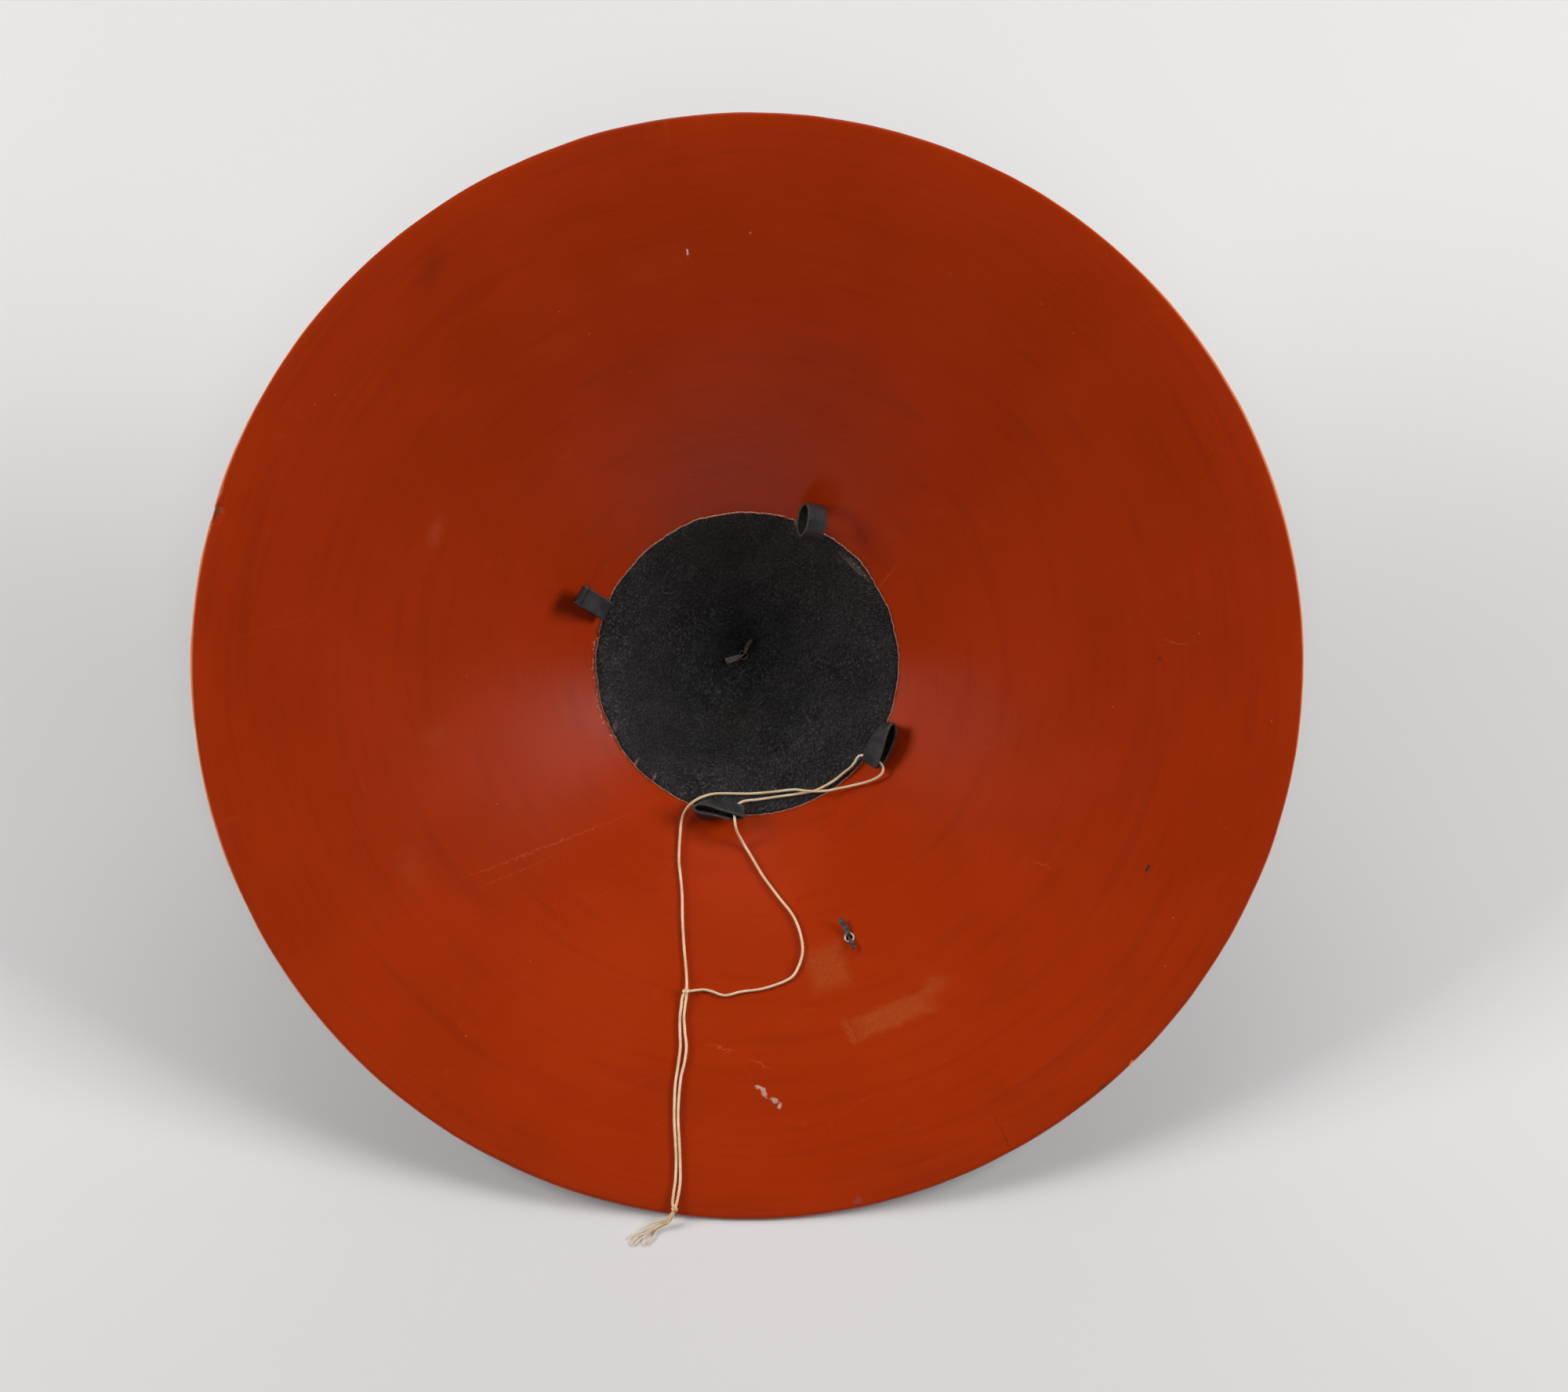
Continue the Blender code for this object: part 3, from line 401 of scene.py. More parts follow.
def even_steps(dense, step):
    """Resample a polyline at even distances, both ends kept."""
    length = sum((b - a).length for a, b in zip(dense, dense[1:]))
    count = max(1, round(length / step))
    step = length / count
    found = [dense[0]]
    passed = 0.0
    for a, b in zip(dense, dense[1:]):
        run = (b - a).length
        while run > 0 and passed + run >= step * len(found) and len(found) < count:
            found.append(a.lerp(b, (step * len(found) - passed) / run))
        passed += run
    return found + [dense[-1]]


def rough(point, size, seed=0.0):
    """Smooth noise from -1 to 1 over places in millimetres; size is the length of one bump."""
    return noise.noise(Vector(point) / size + Vector((seed, 7.3 * seed, -3.1 * seed)))


def ring_faces(rings, count, closed=False, first=0):
    """Quads between rings of count points each; closed also joins the last ring to the first."""
    faces = []
    for a in range(rings if closed else rings - 1):
        b = (a + 1) % rings
        for k in range(count):
            n = (k + 1) % count
            faces.append((first + a * count + k, first + a * count + n,
                          first + b * count + n, first + b * count + k))
    return faces


def add_object(name, data):
    """Object with this data in the scene."""
    made = bpy.data.objects.new(name, data)
    bpy.context.scene.collection.objects.link(made)
    return made


def facing(a, b, c):
    """Rotation whose axes are three directions."""
    return Matrix((a, b, c)).transposed().to_4x4()


def add_piece(name, points, faces, materials, placement, face_slots=None, sharp=50):
    """Smooth-shaded object from points in millimetres."""
    mesh = bpy.data.meshes.new(name)
    mesh.from_pydata([Vector(p) * MM for p in points], [], faces)
    for finish in materials:
        mesh.materials.append(finish)
    if face_slots:
        mesh.polygons.foreach_set("material_index", face_slots)
    mesh.validate()
    mesh.shade_smooth()
    mesh.set_sharp_from_angle(angle=math.radians(sharp))
    piece = add_object(name, mesh)
    piece.matrix_world = placement
    return piece


def settle(piece, slot, *nodes):
    """Put a piece's place into its mesh and let it ride on the hat in place of its plain CAD nodes."""
    piece.data.transform(piece.matrix_world)
    piece.matrix_world = Matrix.Identity(4)
    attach(piece, "root")
    if nodes:
        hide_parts(*nodes)
    return piece


def path_frames(path):
    """Tangent, side and up at each point of a path, with no twist."""
    frames = []
    side = None
    for k in range(len(path)):
        ahead = path[min(k + 1, len(path) - 1)] - path[max(k - 1, 0)]
        ahead.normalize()
        if side is None:
            side = ahead.orthogonal()
        side = (side - side.dot(ahead) * ahead).normalized()
        frames.append((ahead, side, ahead.cross(side)))
    return frames


def add_tube(points, faces, path, sides, radius_at):
    """Append a tube with domed ends; radius_at takes the distance run and the angle round the tube."""
    first = len(points)
    run = 0.0
    frames = path_frames(path)
    for k, (point, (_, side, up)) in enumerate(zip(path, frames)):
        run += (point - path[k - 1]).length if k else 0.0
        for n in range(sides):
            angle = math.tau * n / sides
            reach = radius_at(run, angle)
            points.append(point + side * (reach * math.cos(angle)) + up * (reach * math.sin(angle)))
    faces += ring_faces(len(path), sides, first=first)
    cap = radius_at(0.0, 0.0) * 0.4
    points += [path[0] - frames[0][0] * cap, path[-1] + frames[-1][0] * cap]
    start, end = len(points) - 2, len(points) - 1
    last = first + (len(path) - 1) * sides
    for n in range(sides):
        after = (n + 1) % sides
        faces.append((start, first + after, first + n))
        faces.append((end, last + n, last + after))


def plied_radius(radius, plies, pitch):
    """Wall of a cord of twisted plies: lobes that run round it once every pitch."""
    lobe = radius * 0.52

    def wall(run, angle):
        turn = (angle - math.tau * run / pitch) % (math.tau / plies) - math.pi / plies
        aside = (radius - lobe) * math.sin(turn)
        return (radius - lobe) * math.cos(turn) + math.sqrt(max(0.0, lobe * lobe - aside * aside))

    return wall


def add_fibre(points, faces, root, direction, length, radius, chance):
    """Append one fine three-sided hair that bends as it goes."""
    bend = Vector((chance.uniform(-1, 1), chance.uniform(-1, 1), chance.uniform(-1, 1))) * 0.5
    first = len(points)
    ahead = direction.normalized()
    place = Vector(root)
    for k in range(4):
        side = ahead.orthogonal().normalized()
        up = ahead.cross(side)
        thick = radius * (1 - 0.22 * k)
        for n in range(3):
            angle = math.tau * n / 3
            points.append(place + side * (thick * math.cos(angle)) + up * (thick * math.sin(angle)))
        ahead = (ahead + bend * 0.5).normalized()
        place = place + ahead * (length / 3)
    faces += ring_faces(4, 3, first=first)
    faces.append((first + 2, first + 1, first))
    faces.append((first + 9, first + 10, first + 11))


def shell_angles():
    """Polar angles round the shell, closer together at the chip in the rim."""
    chip = math.atan2(RIM_CHIP[1], RIM_CHIP[0])
    step = math.tau / SHELL_SEGMENTS
    angles = []
    for k in range(SHELL_SEGMENTS):
        parts = CHIP_REFINEMENT if abs(k * step - chip) < CHIP_REACH else 1
        angles += [step * (k + n / parts) for n in range(parts)]
    return angles


def shell_rows():
    """Section of the shell from the crown hole over the inner face, the rounded edge and the outer face.

    A row is radius, height and whether it belongs to the vermilion side.
    """
    inner = [HOLE_RADIUS, 2.6, 3.4, 4.6, 6.2, 8.2, 10.6]
    inner += [13.0 + 2.45 * k for k in range(79)]
    inner += [205.5 + 1.0 * k for k in range(18)] + [LIP_STATION]
    rows = [(*offset(r, 0.0), True) for r in inner]
    tilt = math.atan(inner_slope(LIP_STATION))
    middle_r, middle_z = offset(LIP_STATION, -SHELL_WALL / 2)
    for step in range(1, 8):
        turn = tilt + math.pi / 2 - step * math.pi / 8
        reach = SHELL_WALL / 2
        rows.append((middle_r + reach * math.cos(turn), middle_z + reach * math.sin(turn), step < 6))
    outer = [LIP_STATION - 4.0 * k for k in range(55)] + [5.0, 3.0]
    rows += [(*offset(r, -SHELL_WALL), False) for r in outer]
    rows.append((HOLE_RADIUS, offset(3.0, -SHELL_WALL)[1] - 0.3, False))
    return rows


def chip_depth(x, y):
    """How deep the lacquer is broken off at a plan place near the rim's chip, from 0 to 1."""
    outward = Vector(RIM_CHIP).normalized()
    away = Vector((x, y)) - Vector(RIM_CHIP)
    inward = -away.dot(outward)
    along = away.dot(Vector((-outward.y, outward.x)))
    ragged = 0.45 * rough((x, y, 0), 2.2, 5.0)
    reach = (along / 5.2) ** 2 + (inward / 2.4) ** 2 + ragged
    return min(1.0, max(0.0, (1.0 - reach) * 3.0))


def make_shell(vermilion, black):
    """Hand-lacquered shell: uneven faces, wavy rim, one chip in its edge."""
    angles = shell_angles()
    rows = shell_rows()
    points = []
    slots = []
    for r, z, red in rows:
        near_rim = max(0.0, (r - 185.0) / 40.0)
        for angle in angles:
            x, y = math.cos(angle), math.sin(angle)
            wave = 0.30 * rough((RIM_RADIUS * x, RIM_RADIUS * y, 0), 26.0, 1.0)
            wave += 0.12 * rough((RIM_RADIUS * x, RIM_RADIUS * y, 0), 9.0, 2.0)
            far = r + rim_ripple(angle) * (r / RIM_RADIUS) ** 2 + wave * near_rim ** 2
            place = Vector((far * x, far * y, z))
            lift = 0.20 * rough(place, 48.0, 3.0) + 0.05 * rough(place, 15.0, 4.0) if r > 12.0 else 0.0
            broken = chip_depth(place.x, place.y) if red and r > 215.0 else 0.0
            place.z += lift - 0.5 * broken * (1 + 0.6 * rough(place, 0.9, 6.0))
            place -= Vector((x, y, 0)) * (0.35 * broken * near_rim)
            points.append(place)
    for row in rows[:-1]:
        slots += [0 if row[2] else 1] * len(angles)
    faces = ring_faces(len(rows), len(angles))
    faces += [(k, (k + 1) % len(angles), (len(rows) - 1) * len(angles) + (k + 1) % len(angles),
               (len(rows) - 1) * len(angles) + k) for k in range(len(angles))]
    slots += [1] * len(angles)
    shell = add_piece("lacquered_shell", points, faces, (vermilion, black), HAT, slots)
    bore(shell, REAR_HOLE)
    return settle(shell, "lacquer", "shell")


def on_shell(spot):
    """Placement on the inner face at a plan place, square to the wall."""
    return HAT @ Matrix.Translation(lay_point(*spot, 0.0) * MM) @ facing(*surface_axes(*spot))


def bore(piece, spot):
    """Cut a round hole square to the wall at a plan place."""
    shape = bmesh.new()
    bmesh.ops.create_cone(shape, cap_ends=True, segments=48, radius1=HOLE_RADIUS * MM,
                          radius2=HOLE_RADIUS * MM, depth=4 * SHELL_WALL * MM)
    mesh = bpy.data.meshes.new("bore")
    shape.to_mesh(mesh)
    shape.free()
    cutter = add_object("bore", mesh)
    cutter.matrix_world = on_shell(spot)
    cut = piece.modifiers.new("bore", 'BOOLEAN')
    cut.operation = 'DIFFERENCE'
    cut.solver = 'EXACT'
    cut.object = cutter
    bpy.context.view_layer.update()
    evaluated = piece.evaluated_get(bpy.context.evaluated_depsgraph_get())
    piece.modifiers.clear()
    whole = piece.data
    piece.data = bpy.data.meshes.new_from_object(evaluated)
    bpy.data.meshes.remove(whole)
    bpy.data.objects.remove(cutter)


def pad_edge(angle):
    """Radius of the pad's cut edge, seen from the hat's axis."""
    turn = angle - math.atan2(PAD_CENTRE[1], PAD_CENTRE[0])
    off = math.hypot(*PAD_CENTRE)
    return off * math.cos(turn) + math.sqrt(PAD_RADIUS ** 2 - (off * math.sin(turn)) ** 2)


def ragged_edge(angle):
    """Radius of the pad's edge as it was cut by hand, with its notches."""
    place = (PAD_RADIUS * math.cos(angle), PAD_RADIUS * math.sin(angle), 0)
    reach = pad_edge(angle) + 0.55 * rough(place, 13.0, 11.0) + 0.30 * rough(place, 3.4, 12.0)
    reach += 0.10 * rough(place, 1.6, 13.0)
    for notch in PAD_NOTCHES:
        aside = (angle - math.radians(notch.angle)) * PAD_RADIUS / notch.width
        reach -= notch.depth * math.exp(-aside * aside)
    return reach


def pad_grain(x, y):
    """Height of the hide's pebbled grain, its pebbles drawn out along a slowly turning direction."""
    turn = math.radians(55.0) + 0.9 * rough((x, y, 0), 45.0, 14.0)
    along = x * math.cos(turn) + y * math.sin(turn)
    aside = -x * math.sin(turn) + y * math.cos(turn)
    near, far = noise.voronoi(Vector((along / 2.3, aside / 1.35, 0.5)))[0][:2]
    return 0.13 * min(1.0, 2.2 * (far - near)) + 0.05 * rough((x, y, 0), 0.8, 15.0)


def pad_lift(x, y):
    """Height of the pad's top face over the shell: uneven hide that laps over the strap roots."""
    lift = PAD_TOP + 0.25 * rough((x, y, 0), 21.0, 16.0)
    for root in STRAP_ROOTS:
        away = math.hypot(x - root.x, y - root.y) / root.reach
        lift += root.rise * math.exp(-away * away)
    return lift


def pad_top(angle, part):
    """Radius and lift of the grained top, a part of the way from the pad's hole to its edge."""
    reach, _ = pad_under(angle, part)
    fall = max(0.0, (part - 0.965) / 0.035)
    x, y = reach * math.cos(angle), reach * math.sin(angle)
    return reach, pad_lift(x, y) + pad_grain(x, y) * (1 - 0.5 * fall) - 0.45 * fall * fall


def pad_cut(angle, out, lift):
    """Radius and lift on the slanting cut edge."""
    spread = 1 + 0.5 * rough((60 * math.cos(angle), 60 * math.sin(angle), 0), 2.0, 17.0)
    return ragged_edge(angle) + out * spread, lift


def pad_under(angle, part):
    """Radius and lift of the flat underside, a part of the way from the pad's hole to its edge."""
    return HOLE_RADIUS + (ragged_edge(angle) - HOLE_RADIUS) * part, PAD_UNDERSIDE_LIFT


def pad_ring(place_at, *where):
    """Points of one ring round the pad."""
    ring = []
    for n in range(PAD_SEGMENTS):
        angle = math.tau * n / PAD_SEGMENTS
        far, z = offset(*place_at(angle, *where))
        ring.append((far * math.cos(angle), far * math.sin(angle), z))
    return ring


def make_pad(leather, cut_edge):
    """Leather disc over the crown: grained top, slanting cut edge and flat underside."""
    rings = [pad_ring(pad_top, k / PAD_RINGS) for k in range(PAD_RINGS + 1)]
    top = len(rings)
    rings += [pad_ring(pad_cut, out, lift) for out, lift in PAD_CUT]
    cut = len(rings)
    rings += [pad_ring(pad_under, part) for part in PAD_UNDERSIDE]
    points = [point for ring in rings for point in ring]
    faces = ring_faces(len(rings), PAD_SEGMENTS, closed=True)
    slots = [1 if top <= k < cut else 0 for k in range(len(rings)) for _ in range(PAD_SEGMENTS)]
    pad = add_piece("crown_pad", points, faces, (leather, cut_edge), HAT, slots, sharp=75)
    return settle(pad, "black_leather", "leather_pad")


def make_pad_fibres(fibre):
    """Loose leather fibres along the pad's cut edge, thickest on the left."""
    chance = random.Random(21)
    points, faces = [], []
    for _ in range(PAD_FIBRES):
        anywhere = chance.random() < 0.45
        angle = chance.uniform(0, math.tau) if anywhere else chance.gauss(math.radians(187), 0.32)
        edge = ragged_edge(angle) + 0.1
        x, y = edge * math.cos(angle), edge * math.sin(angle)
        outward, around, normal = surface_axes(x, y)
        lean = outward + around * chance.uniform(-1.4, 1.4) + normal * chance.uniform(-0.1, 0.5)
        root = lay_point(x, y, chance.uniform(0.2, 1.4))
        add_fibre(points, faces, root, lean, chance.uniform(0.5, 1.5), 0.05, chance)
    fibres = add_piece("pad_edge_fibres", points, faces, (fibre,), HAT)
    return settle(fibres, "black_leather")


def make_pad_flakes(flake):
    """Crumbs of broken lacquer beside the left of the pad."""
    chance = random.Random(34)
    points, faces = [], []
    for _ in range(PAD_FLAKES):
        angle = math.radians(chance.uniform(172, 212))
        edge = ragged_edge(angle) + abs(chance.gauss(0.7, 0.8)) + 0.35
        x, y = edge * math.cos(angle), edge * math.sin(angle)
        outward, around, normal = surface_axes(x, y)
        along = (around + outward * chance.uniform(-0.6, 0.6)).normalized()
        aside = along.cross(normal)
        long, wide = chance.uniform(0.3, 0.95), chance.uniform(0.1, 0.22)
        middle = lay_point(x, y, 0.1)
        first = len(points)
        for n in range(7):
            turn = math.tau * n / 7
            rim = along * (long * math.cos(turn)) + aside * (wide * math.sin(turn) * chance.uniform(0.5, 1.4))
            points.append(middle + rim - normal * 0.2)
        for n in range(7):
            points.append(middle + (points[first + n] - middle) * 0.6 + normal * chance.uniform(0.15, 0.3))
        faces += ring_faces(2, 7, first=first)
        faces.append(tuple(first + 7 + n for n in range(7)))
        faces.append(tuple(first + n for n in reversed(range(7))))
    flakes = add_piece("pad_edge_flakes", points, faces, (flake,), HAT)
    return settle(flakes, "lacquer")


def strap_section():
    """Section of a strap as across and outward parts of its width and thickness, outer face first."""
    flat = [-0.44 + 0.88 * n / STRAP_FLAT_STEPS for n in range(STRAP_FLAT_STEPS + 1)]
    outer = [(a, 0.5) for a in flat]
    inner = [(a, -0.5) for a in reversed(flat)]
    corner = [(0.485, 0.32), (0.50, 0.0), (0.485, -0.32)]
    return outer + corner + inner + [(-0.485, -0.32), (-0.50, 0.0), (-0.485, 0.32)]


def strap_lines(low, high):
    """Even stations round a strap loop: middle, across and outward directions."""
    low = smooth_loop(low, STRAP_STATIONS)
    high = smooth_loop(high, STRAP_STATIONS)
    middles = [(a + b) / 2 for a, b in zip(low, high)]
    centre = sum(middles, Vector()) / len(middles)
    lines = []
    for k, (a, b) in enumerate(zip(low, high)):
        along = middles[(k + 1) % len(middles)] - middles[k - 1]
        across = (b - a).normalized()
        lines.append([middles[k], across, along.cross(across).normalized()])
    if sum(line[2].dot(line[0] - centre) for line in lines) < 0:
        for line in lines:
            line[2].negate()
    return lines


def make_strap(name, node, lines, finishes, seed):
    """Strap loop with soft edges, suede inside and loose fibres; finishes are face, edge, suede and fibre."""
    section = strap_section()
    points = []
    for middle, across, out in lines:
        for a, b in section:
            place = middle + across * (a * STRAP_WIDTH) + out * (b * STRAP_THICKNESS)
            wave = 0.16 * rough(place, 5.0, seed) + 0.07 * rough(place, 1.4, seed + 1)
            fray = 0.16 * rough(place, 0.7, seed + 2) if b < 0.4 else 0.03 * rough(place, 0.9, seed + 3)
            points.append(place + out * (wave * 0.6 + fray * 0.7) + across * (wave if abs(a) > 0.44 else 0.0))
    flat, corner = STRAP_FLAT_STEPS, 4
    slots = ([0] * flat + [1] * corner + [2] * flat + [1] * corner) * len(lines)
    faces = ring_faces(len(lines), len(section), closed=True)
    settle(add_piece(name, points, faces, finishes[:3], HAT, slots, sharp=70), "strap_leather", node)
    chance = random.Random(seed)
    points, faces = [], []
    for _ in range(STRAP_FIBRES):
        middle, across, out = lines[chance.randrange(len(lines))]
        inside = chance.random() < 0.35
        side = chance.choice((-1, 1))
        a = chance.uniform(-0.48, 0.48) if inside else 0.49 * side
        b = -0.5 if inside else chance.uniform(-0.5, 0.1)
        root = middle + across * (a * STRAP_WIDTH) + out * (b * STRAP_THICKNESS)
        lean = across * (chance.uniform(-1, 1) if inside else side * 0.8) - out * chance.uniform(0.1, 0.9)
        lean += across.cross(out) * chance.uniform(-1.0, 1.0)
        add_fibre(points, faces, root, lean, chance.uniform(0.35, 0.95), 0.045, chance)
    settle(add_piece(name + "_fibres", points, faces, finishes[3:], HAT), "strap_leather")


def make_crumple(lines, finish):
    """Suede folded together inside the lower loop, left of the cord."""
    points = []
    for row in range(2, CRUMPLE_ROWS + 1):
        upper, lower = lines[CRUMPLE_START - row], lines[CRUMPLE_START + row]
        ends = [middle + across * (0.30 * STRAP_WIDTH) - out * (0.42 * STRAP_THICKNESS)
                for middle, across, out in (upper, lower)]
        inward = -(upper[1] + lower[1]).normalized()
        front = []
        for column in range(CRUMPLE_COLUMNS + 1):
            part = column / CRUMPLE_COLUMNS
            place = ends[0].lerp(ends[1], part)
            fold = 1.1 * math.cos(math.tau * 1.5 * part + 0.8) * math.sin(math.pi * part)
            fold += 0.45 * rough(place, 2.2, 91) + 0.18 * rough(place, 0.7, 92)
            front.append(place + inward * fold)
        points += front + [place + inward * 0.6 for place in reversed(front)]
    count = 2 * (CRUMPLE_COLUMNS + 1)
    rows = CRUMPLE_ROWS - 1
    faces = ring_faces(rows, count)
    last = (rows - 1) * count
    faces += [tuple(reversed(range(count))), tuple(last + k for k in range(count))]
    return settle(add_piece("loop_lower_crumple", points, faces, (finish,), HAT, sharp=70), "strap_leather")


def oval_edges(loop):
    """Low and high edge of an oval strap loop: two straight runs joined by half rounds."""
    across = Vector(loop.across).normalized()
    up = across.cross(Vector(loop.along)).normalized()
    along = up.cross(across)
    middle = lay_point(loop.x, loop.y, loop.lift)
    low, high = [], []
    straight = (loop.length - loop.height) / 2
    for k in range(OVAL_STEPS):
        turn = math.tau * (k + 0.5) / OVAL_STEPS
        reach = math.copysign(straight, math.cos(turn)) + loop.height / 2 * math.cos(turn)
        rim = along * reach + up * (loop.height / 2 * math.sin(turn))
        low.append(middle + rim - across * STRAP_WIDTH / 2)
        high.append(middle + rim + across * STRAP_WIDTH / 2)
    return low, high


def bent_edges(stations):
    """Low and high edge of a strap loop that the cord pulls out of shape."""
    low, high = [], []
    for row in stations:
        base = lay_point(row.low_x, row.low_y, row.low_lift)
        aside = math.hypot(row.high_x - row.low_x, row.high_y - row.low_y)
        low.append(base)
        high.append(Vector((row.high_x, row.high_y, base.z + math.sqrt(STRAP_WIDTH ** 2 - aside ** 2))))
    return low, high


def make_cord(name, upper, lower, nodes, finish):
    """One half of the cord: twisted plies from the bight through the upper knot to the lower one."""
    route = (*upper, UPPER_KNOT[:3], *lower, LOWER_KNOT[:3])
    path = smooth_line([lay_point(*row) for row in route], CORD_STEP)
    points, faces = [], []
    add_tube(points, faces, path, CORD_SIDES, plied_radius(CORD_DIAMETER / 2, CORD_PLIES, CORD_PITCH))
    cord = add_piece(name, points, faces, (finish,), HAT, sharp=80)
    settle(cord, "cord", *nodes)
    return path


def make_knot(name, knot, node, finish):
    """Small overhand knot: one turn of cord pulled tight round itself."""
    outward, around, normal = surface_axes(knot.x, knot.y)
    middle = lay_point(knot.x, knot.y, knot.lift)
    turn = math.radians(knot.turn)
    along = outward * math.cos(turn) + around * math.sin(turn)
    aside = normal.cross(along)
    path = []
    for k in range(KNOT_STEPS + 1):
        t = math.tau * k / KNOT_STEPS + 0.4
        x = (math.sin(t) + 2 * math.sin(2 * t)) / 3 * (knot.long / 2 - 0.5)
        y = (math.cos(t) - 2 * math.cos(2 * t)) / 3 * (knot.wide / 2 - 0.5)
        z = -math.sin(3 * t) * (knot.high / 2 - 0.55)
        path.append(middle + along * x + aside * y + normal * z)
    points, faces = [], []
    add_tube(points, faces, path, CORD_SIDES, plied_radius(KNOT_STRAND, CORD_PLIES, CORD_PITCH))
    return settle(add_piece(name, points, faces, (finish,), HAT, sharp=80), "cord", node)


def make_frayed_ends(finish):
    """Both cord ends past the lower knot: loose strands over the rim's edge and onto the floor."""
    points, faces = [], []
    chance = random.Random(8)
    for strand in FRAYED_STRANDS:
        path = smooth_line([Vector(p) / MM for p in strand], STRAND_STEP)
        length = STRAND_STEP * len(path)

        def wall(run, angle, length=length):
            lobes = plied_radius(STRAND_RADIUS, 2, STRAND_PITCH)(run, angle)
            return lobes * (1 - 0.30 * max(0.0, run / length - 0.6) / 0.4)

        add_tube(points, faces, path, 12, wall)
        ahead = (path[-1] - path[-6]).normalized()
        for _ in range(TIP_FIBRES):
            spread = (chance.uniform(-0.5, 0.5), chance.uniform(-0.5, 0.5), chance.uniform(-0.1, 0.4))
            lean = ahead + Vector(spread)
            root = path[-1 - chance.randrange(4)]
            root = root + Vector((chance.uniform(-0.2, 0.2), chance.uniform(-0.2, 0.2), 0))
            root.z = max(root.z, 0.25)
            lean.z = max(lean.z, 0.02)
            add_fibre(points, faces, root, lean, chance.uniform(0.5, 1.3), 0.09, chance)
    for point in points:
        point.z = max(point.z, 0.05)
    return settle(add_piece("frayed_cord_ends", points, faces, (finish,), Matrix.Identity(4), sharp=80),
                  "cord", "cord_ends")


def make_cord_fuzz(paths, finish):
    """Fine fibres that stand off the cord."""
    chance = random.Random(55)
    points, faces = [], []
    for path in paths:
        for _ in range(CORD_FIBRES):
            k = chance.randrange(4, len(path) - 4)
            ahead = (path[k + 1] - path[k]).normalized()
            side = ahead.orthogonal().normalized()
            angle = chance.uniform(0, math.tau)
            off = side * math.cos(angle) + ahead.cross(side) * math.sin(angle)
            root = path[k] + off * (CORD_DIAMETER * 0.4)
            lean = ahead * chance.choice((-1, 1)) * 1.2 + off
            add_fibre(points, faces, root, lean, chance.uniform(0.4, 1.1), 0.028, chance)
    return settle(add_piece("cord_fibres", points, faces, (finish,), HAT), "cord")


def turned(name, profile, placement, finishes):
    """Turned piece; the profile runs from the top of the axis round to its bottom.

    A row is radius, height, number of flats (0 for round) and the finish of the band below it.
    """
    points = [Vector((0.0, 0.0, profile[0][1]))]
    for r, z, flats, _ in profile[1:-1]:
        for k in range(TURNED_SEGMENTS):
            angle = -math.pi / 2 + (k + 0.5) * math.tau / TURNED_SEGMENTS
            far = r
            if flats:
                side = math.tau / flats
                off_flat = (angle + math.pi / 2 + side / 2) % side - side / 2
                far = r * math.cos(side / 2) / max(math.cos(off_flat), math.cos(side / 2) / 0.992)
            points.append(Vector((far * math.cos(angle), far * math.sin(angle), z)))
    points.append(Vector((0.0, 0.0, profile[-1][1])))
    count, rings = TURNED_SEGMENTS, len(profile) - 2
    faces = ring_faces(rings, count, first=1)
    slots = [row[3] for row in profile[1:-2] for _ in range(count)]
    last = 1 + (rings - 1) * count
    for k in range(count):
        n = (k + 1) % count
        faces.append((0, 1 + n, 1 + k))
        faces.append((len(points) - 1, last + k, last + n))
        slots += [profile[0][3], profile[-2][3]]
    return add_piece(name, points, faces, finishes, placement, slots, sharp=40)


def lip_rows(seat):
    """Bore, rolled lip and top of the ferrule; seat is the height that the lip sits on."""
    middle_r = BORE_RADIUS + LIP_WIRE
    middle_z = seat + LIP_WIRE
    floor = middle_z - 2.6
    rows = [(0.0, floor, 0, 1), (0.5, floor, 0, 1), (BORE_RADIUS, floor, 0, 1)]
    rows.append((BORE_RADIUS, middle_z - 0.7, 0, 0))
    for step in range(11):
        turn = math.pi - step * math.pi * 0.125
        rows.append((middle_r + LIP_WIRE * math.cos(turn), middle_z + LIP_WIRE * math.sin(turn), 0, 0))
    rows.append((FERRULE_RADIUS, seat, 0, 0))
    return rows


def crown_seat():
    """Height of the pad's top face under the crown eyelet's lip."""
    r = BORE_RADIUS + 2 * LIP_WIRE
    return inner_height(r) + PAD_TOP * math.hypot(1, inner_slope(r)) + 0.15


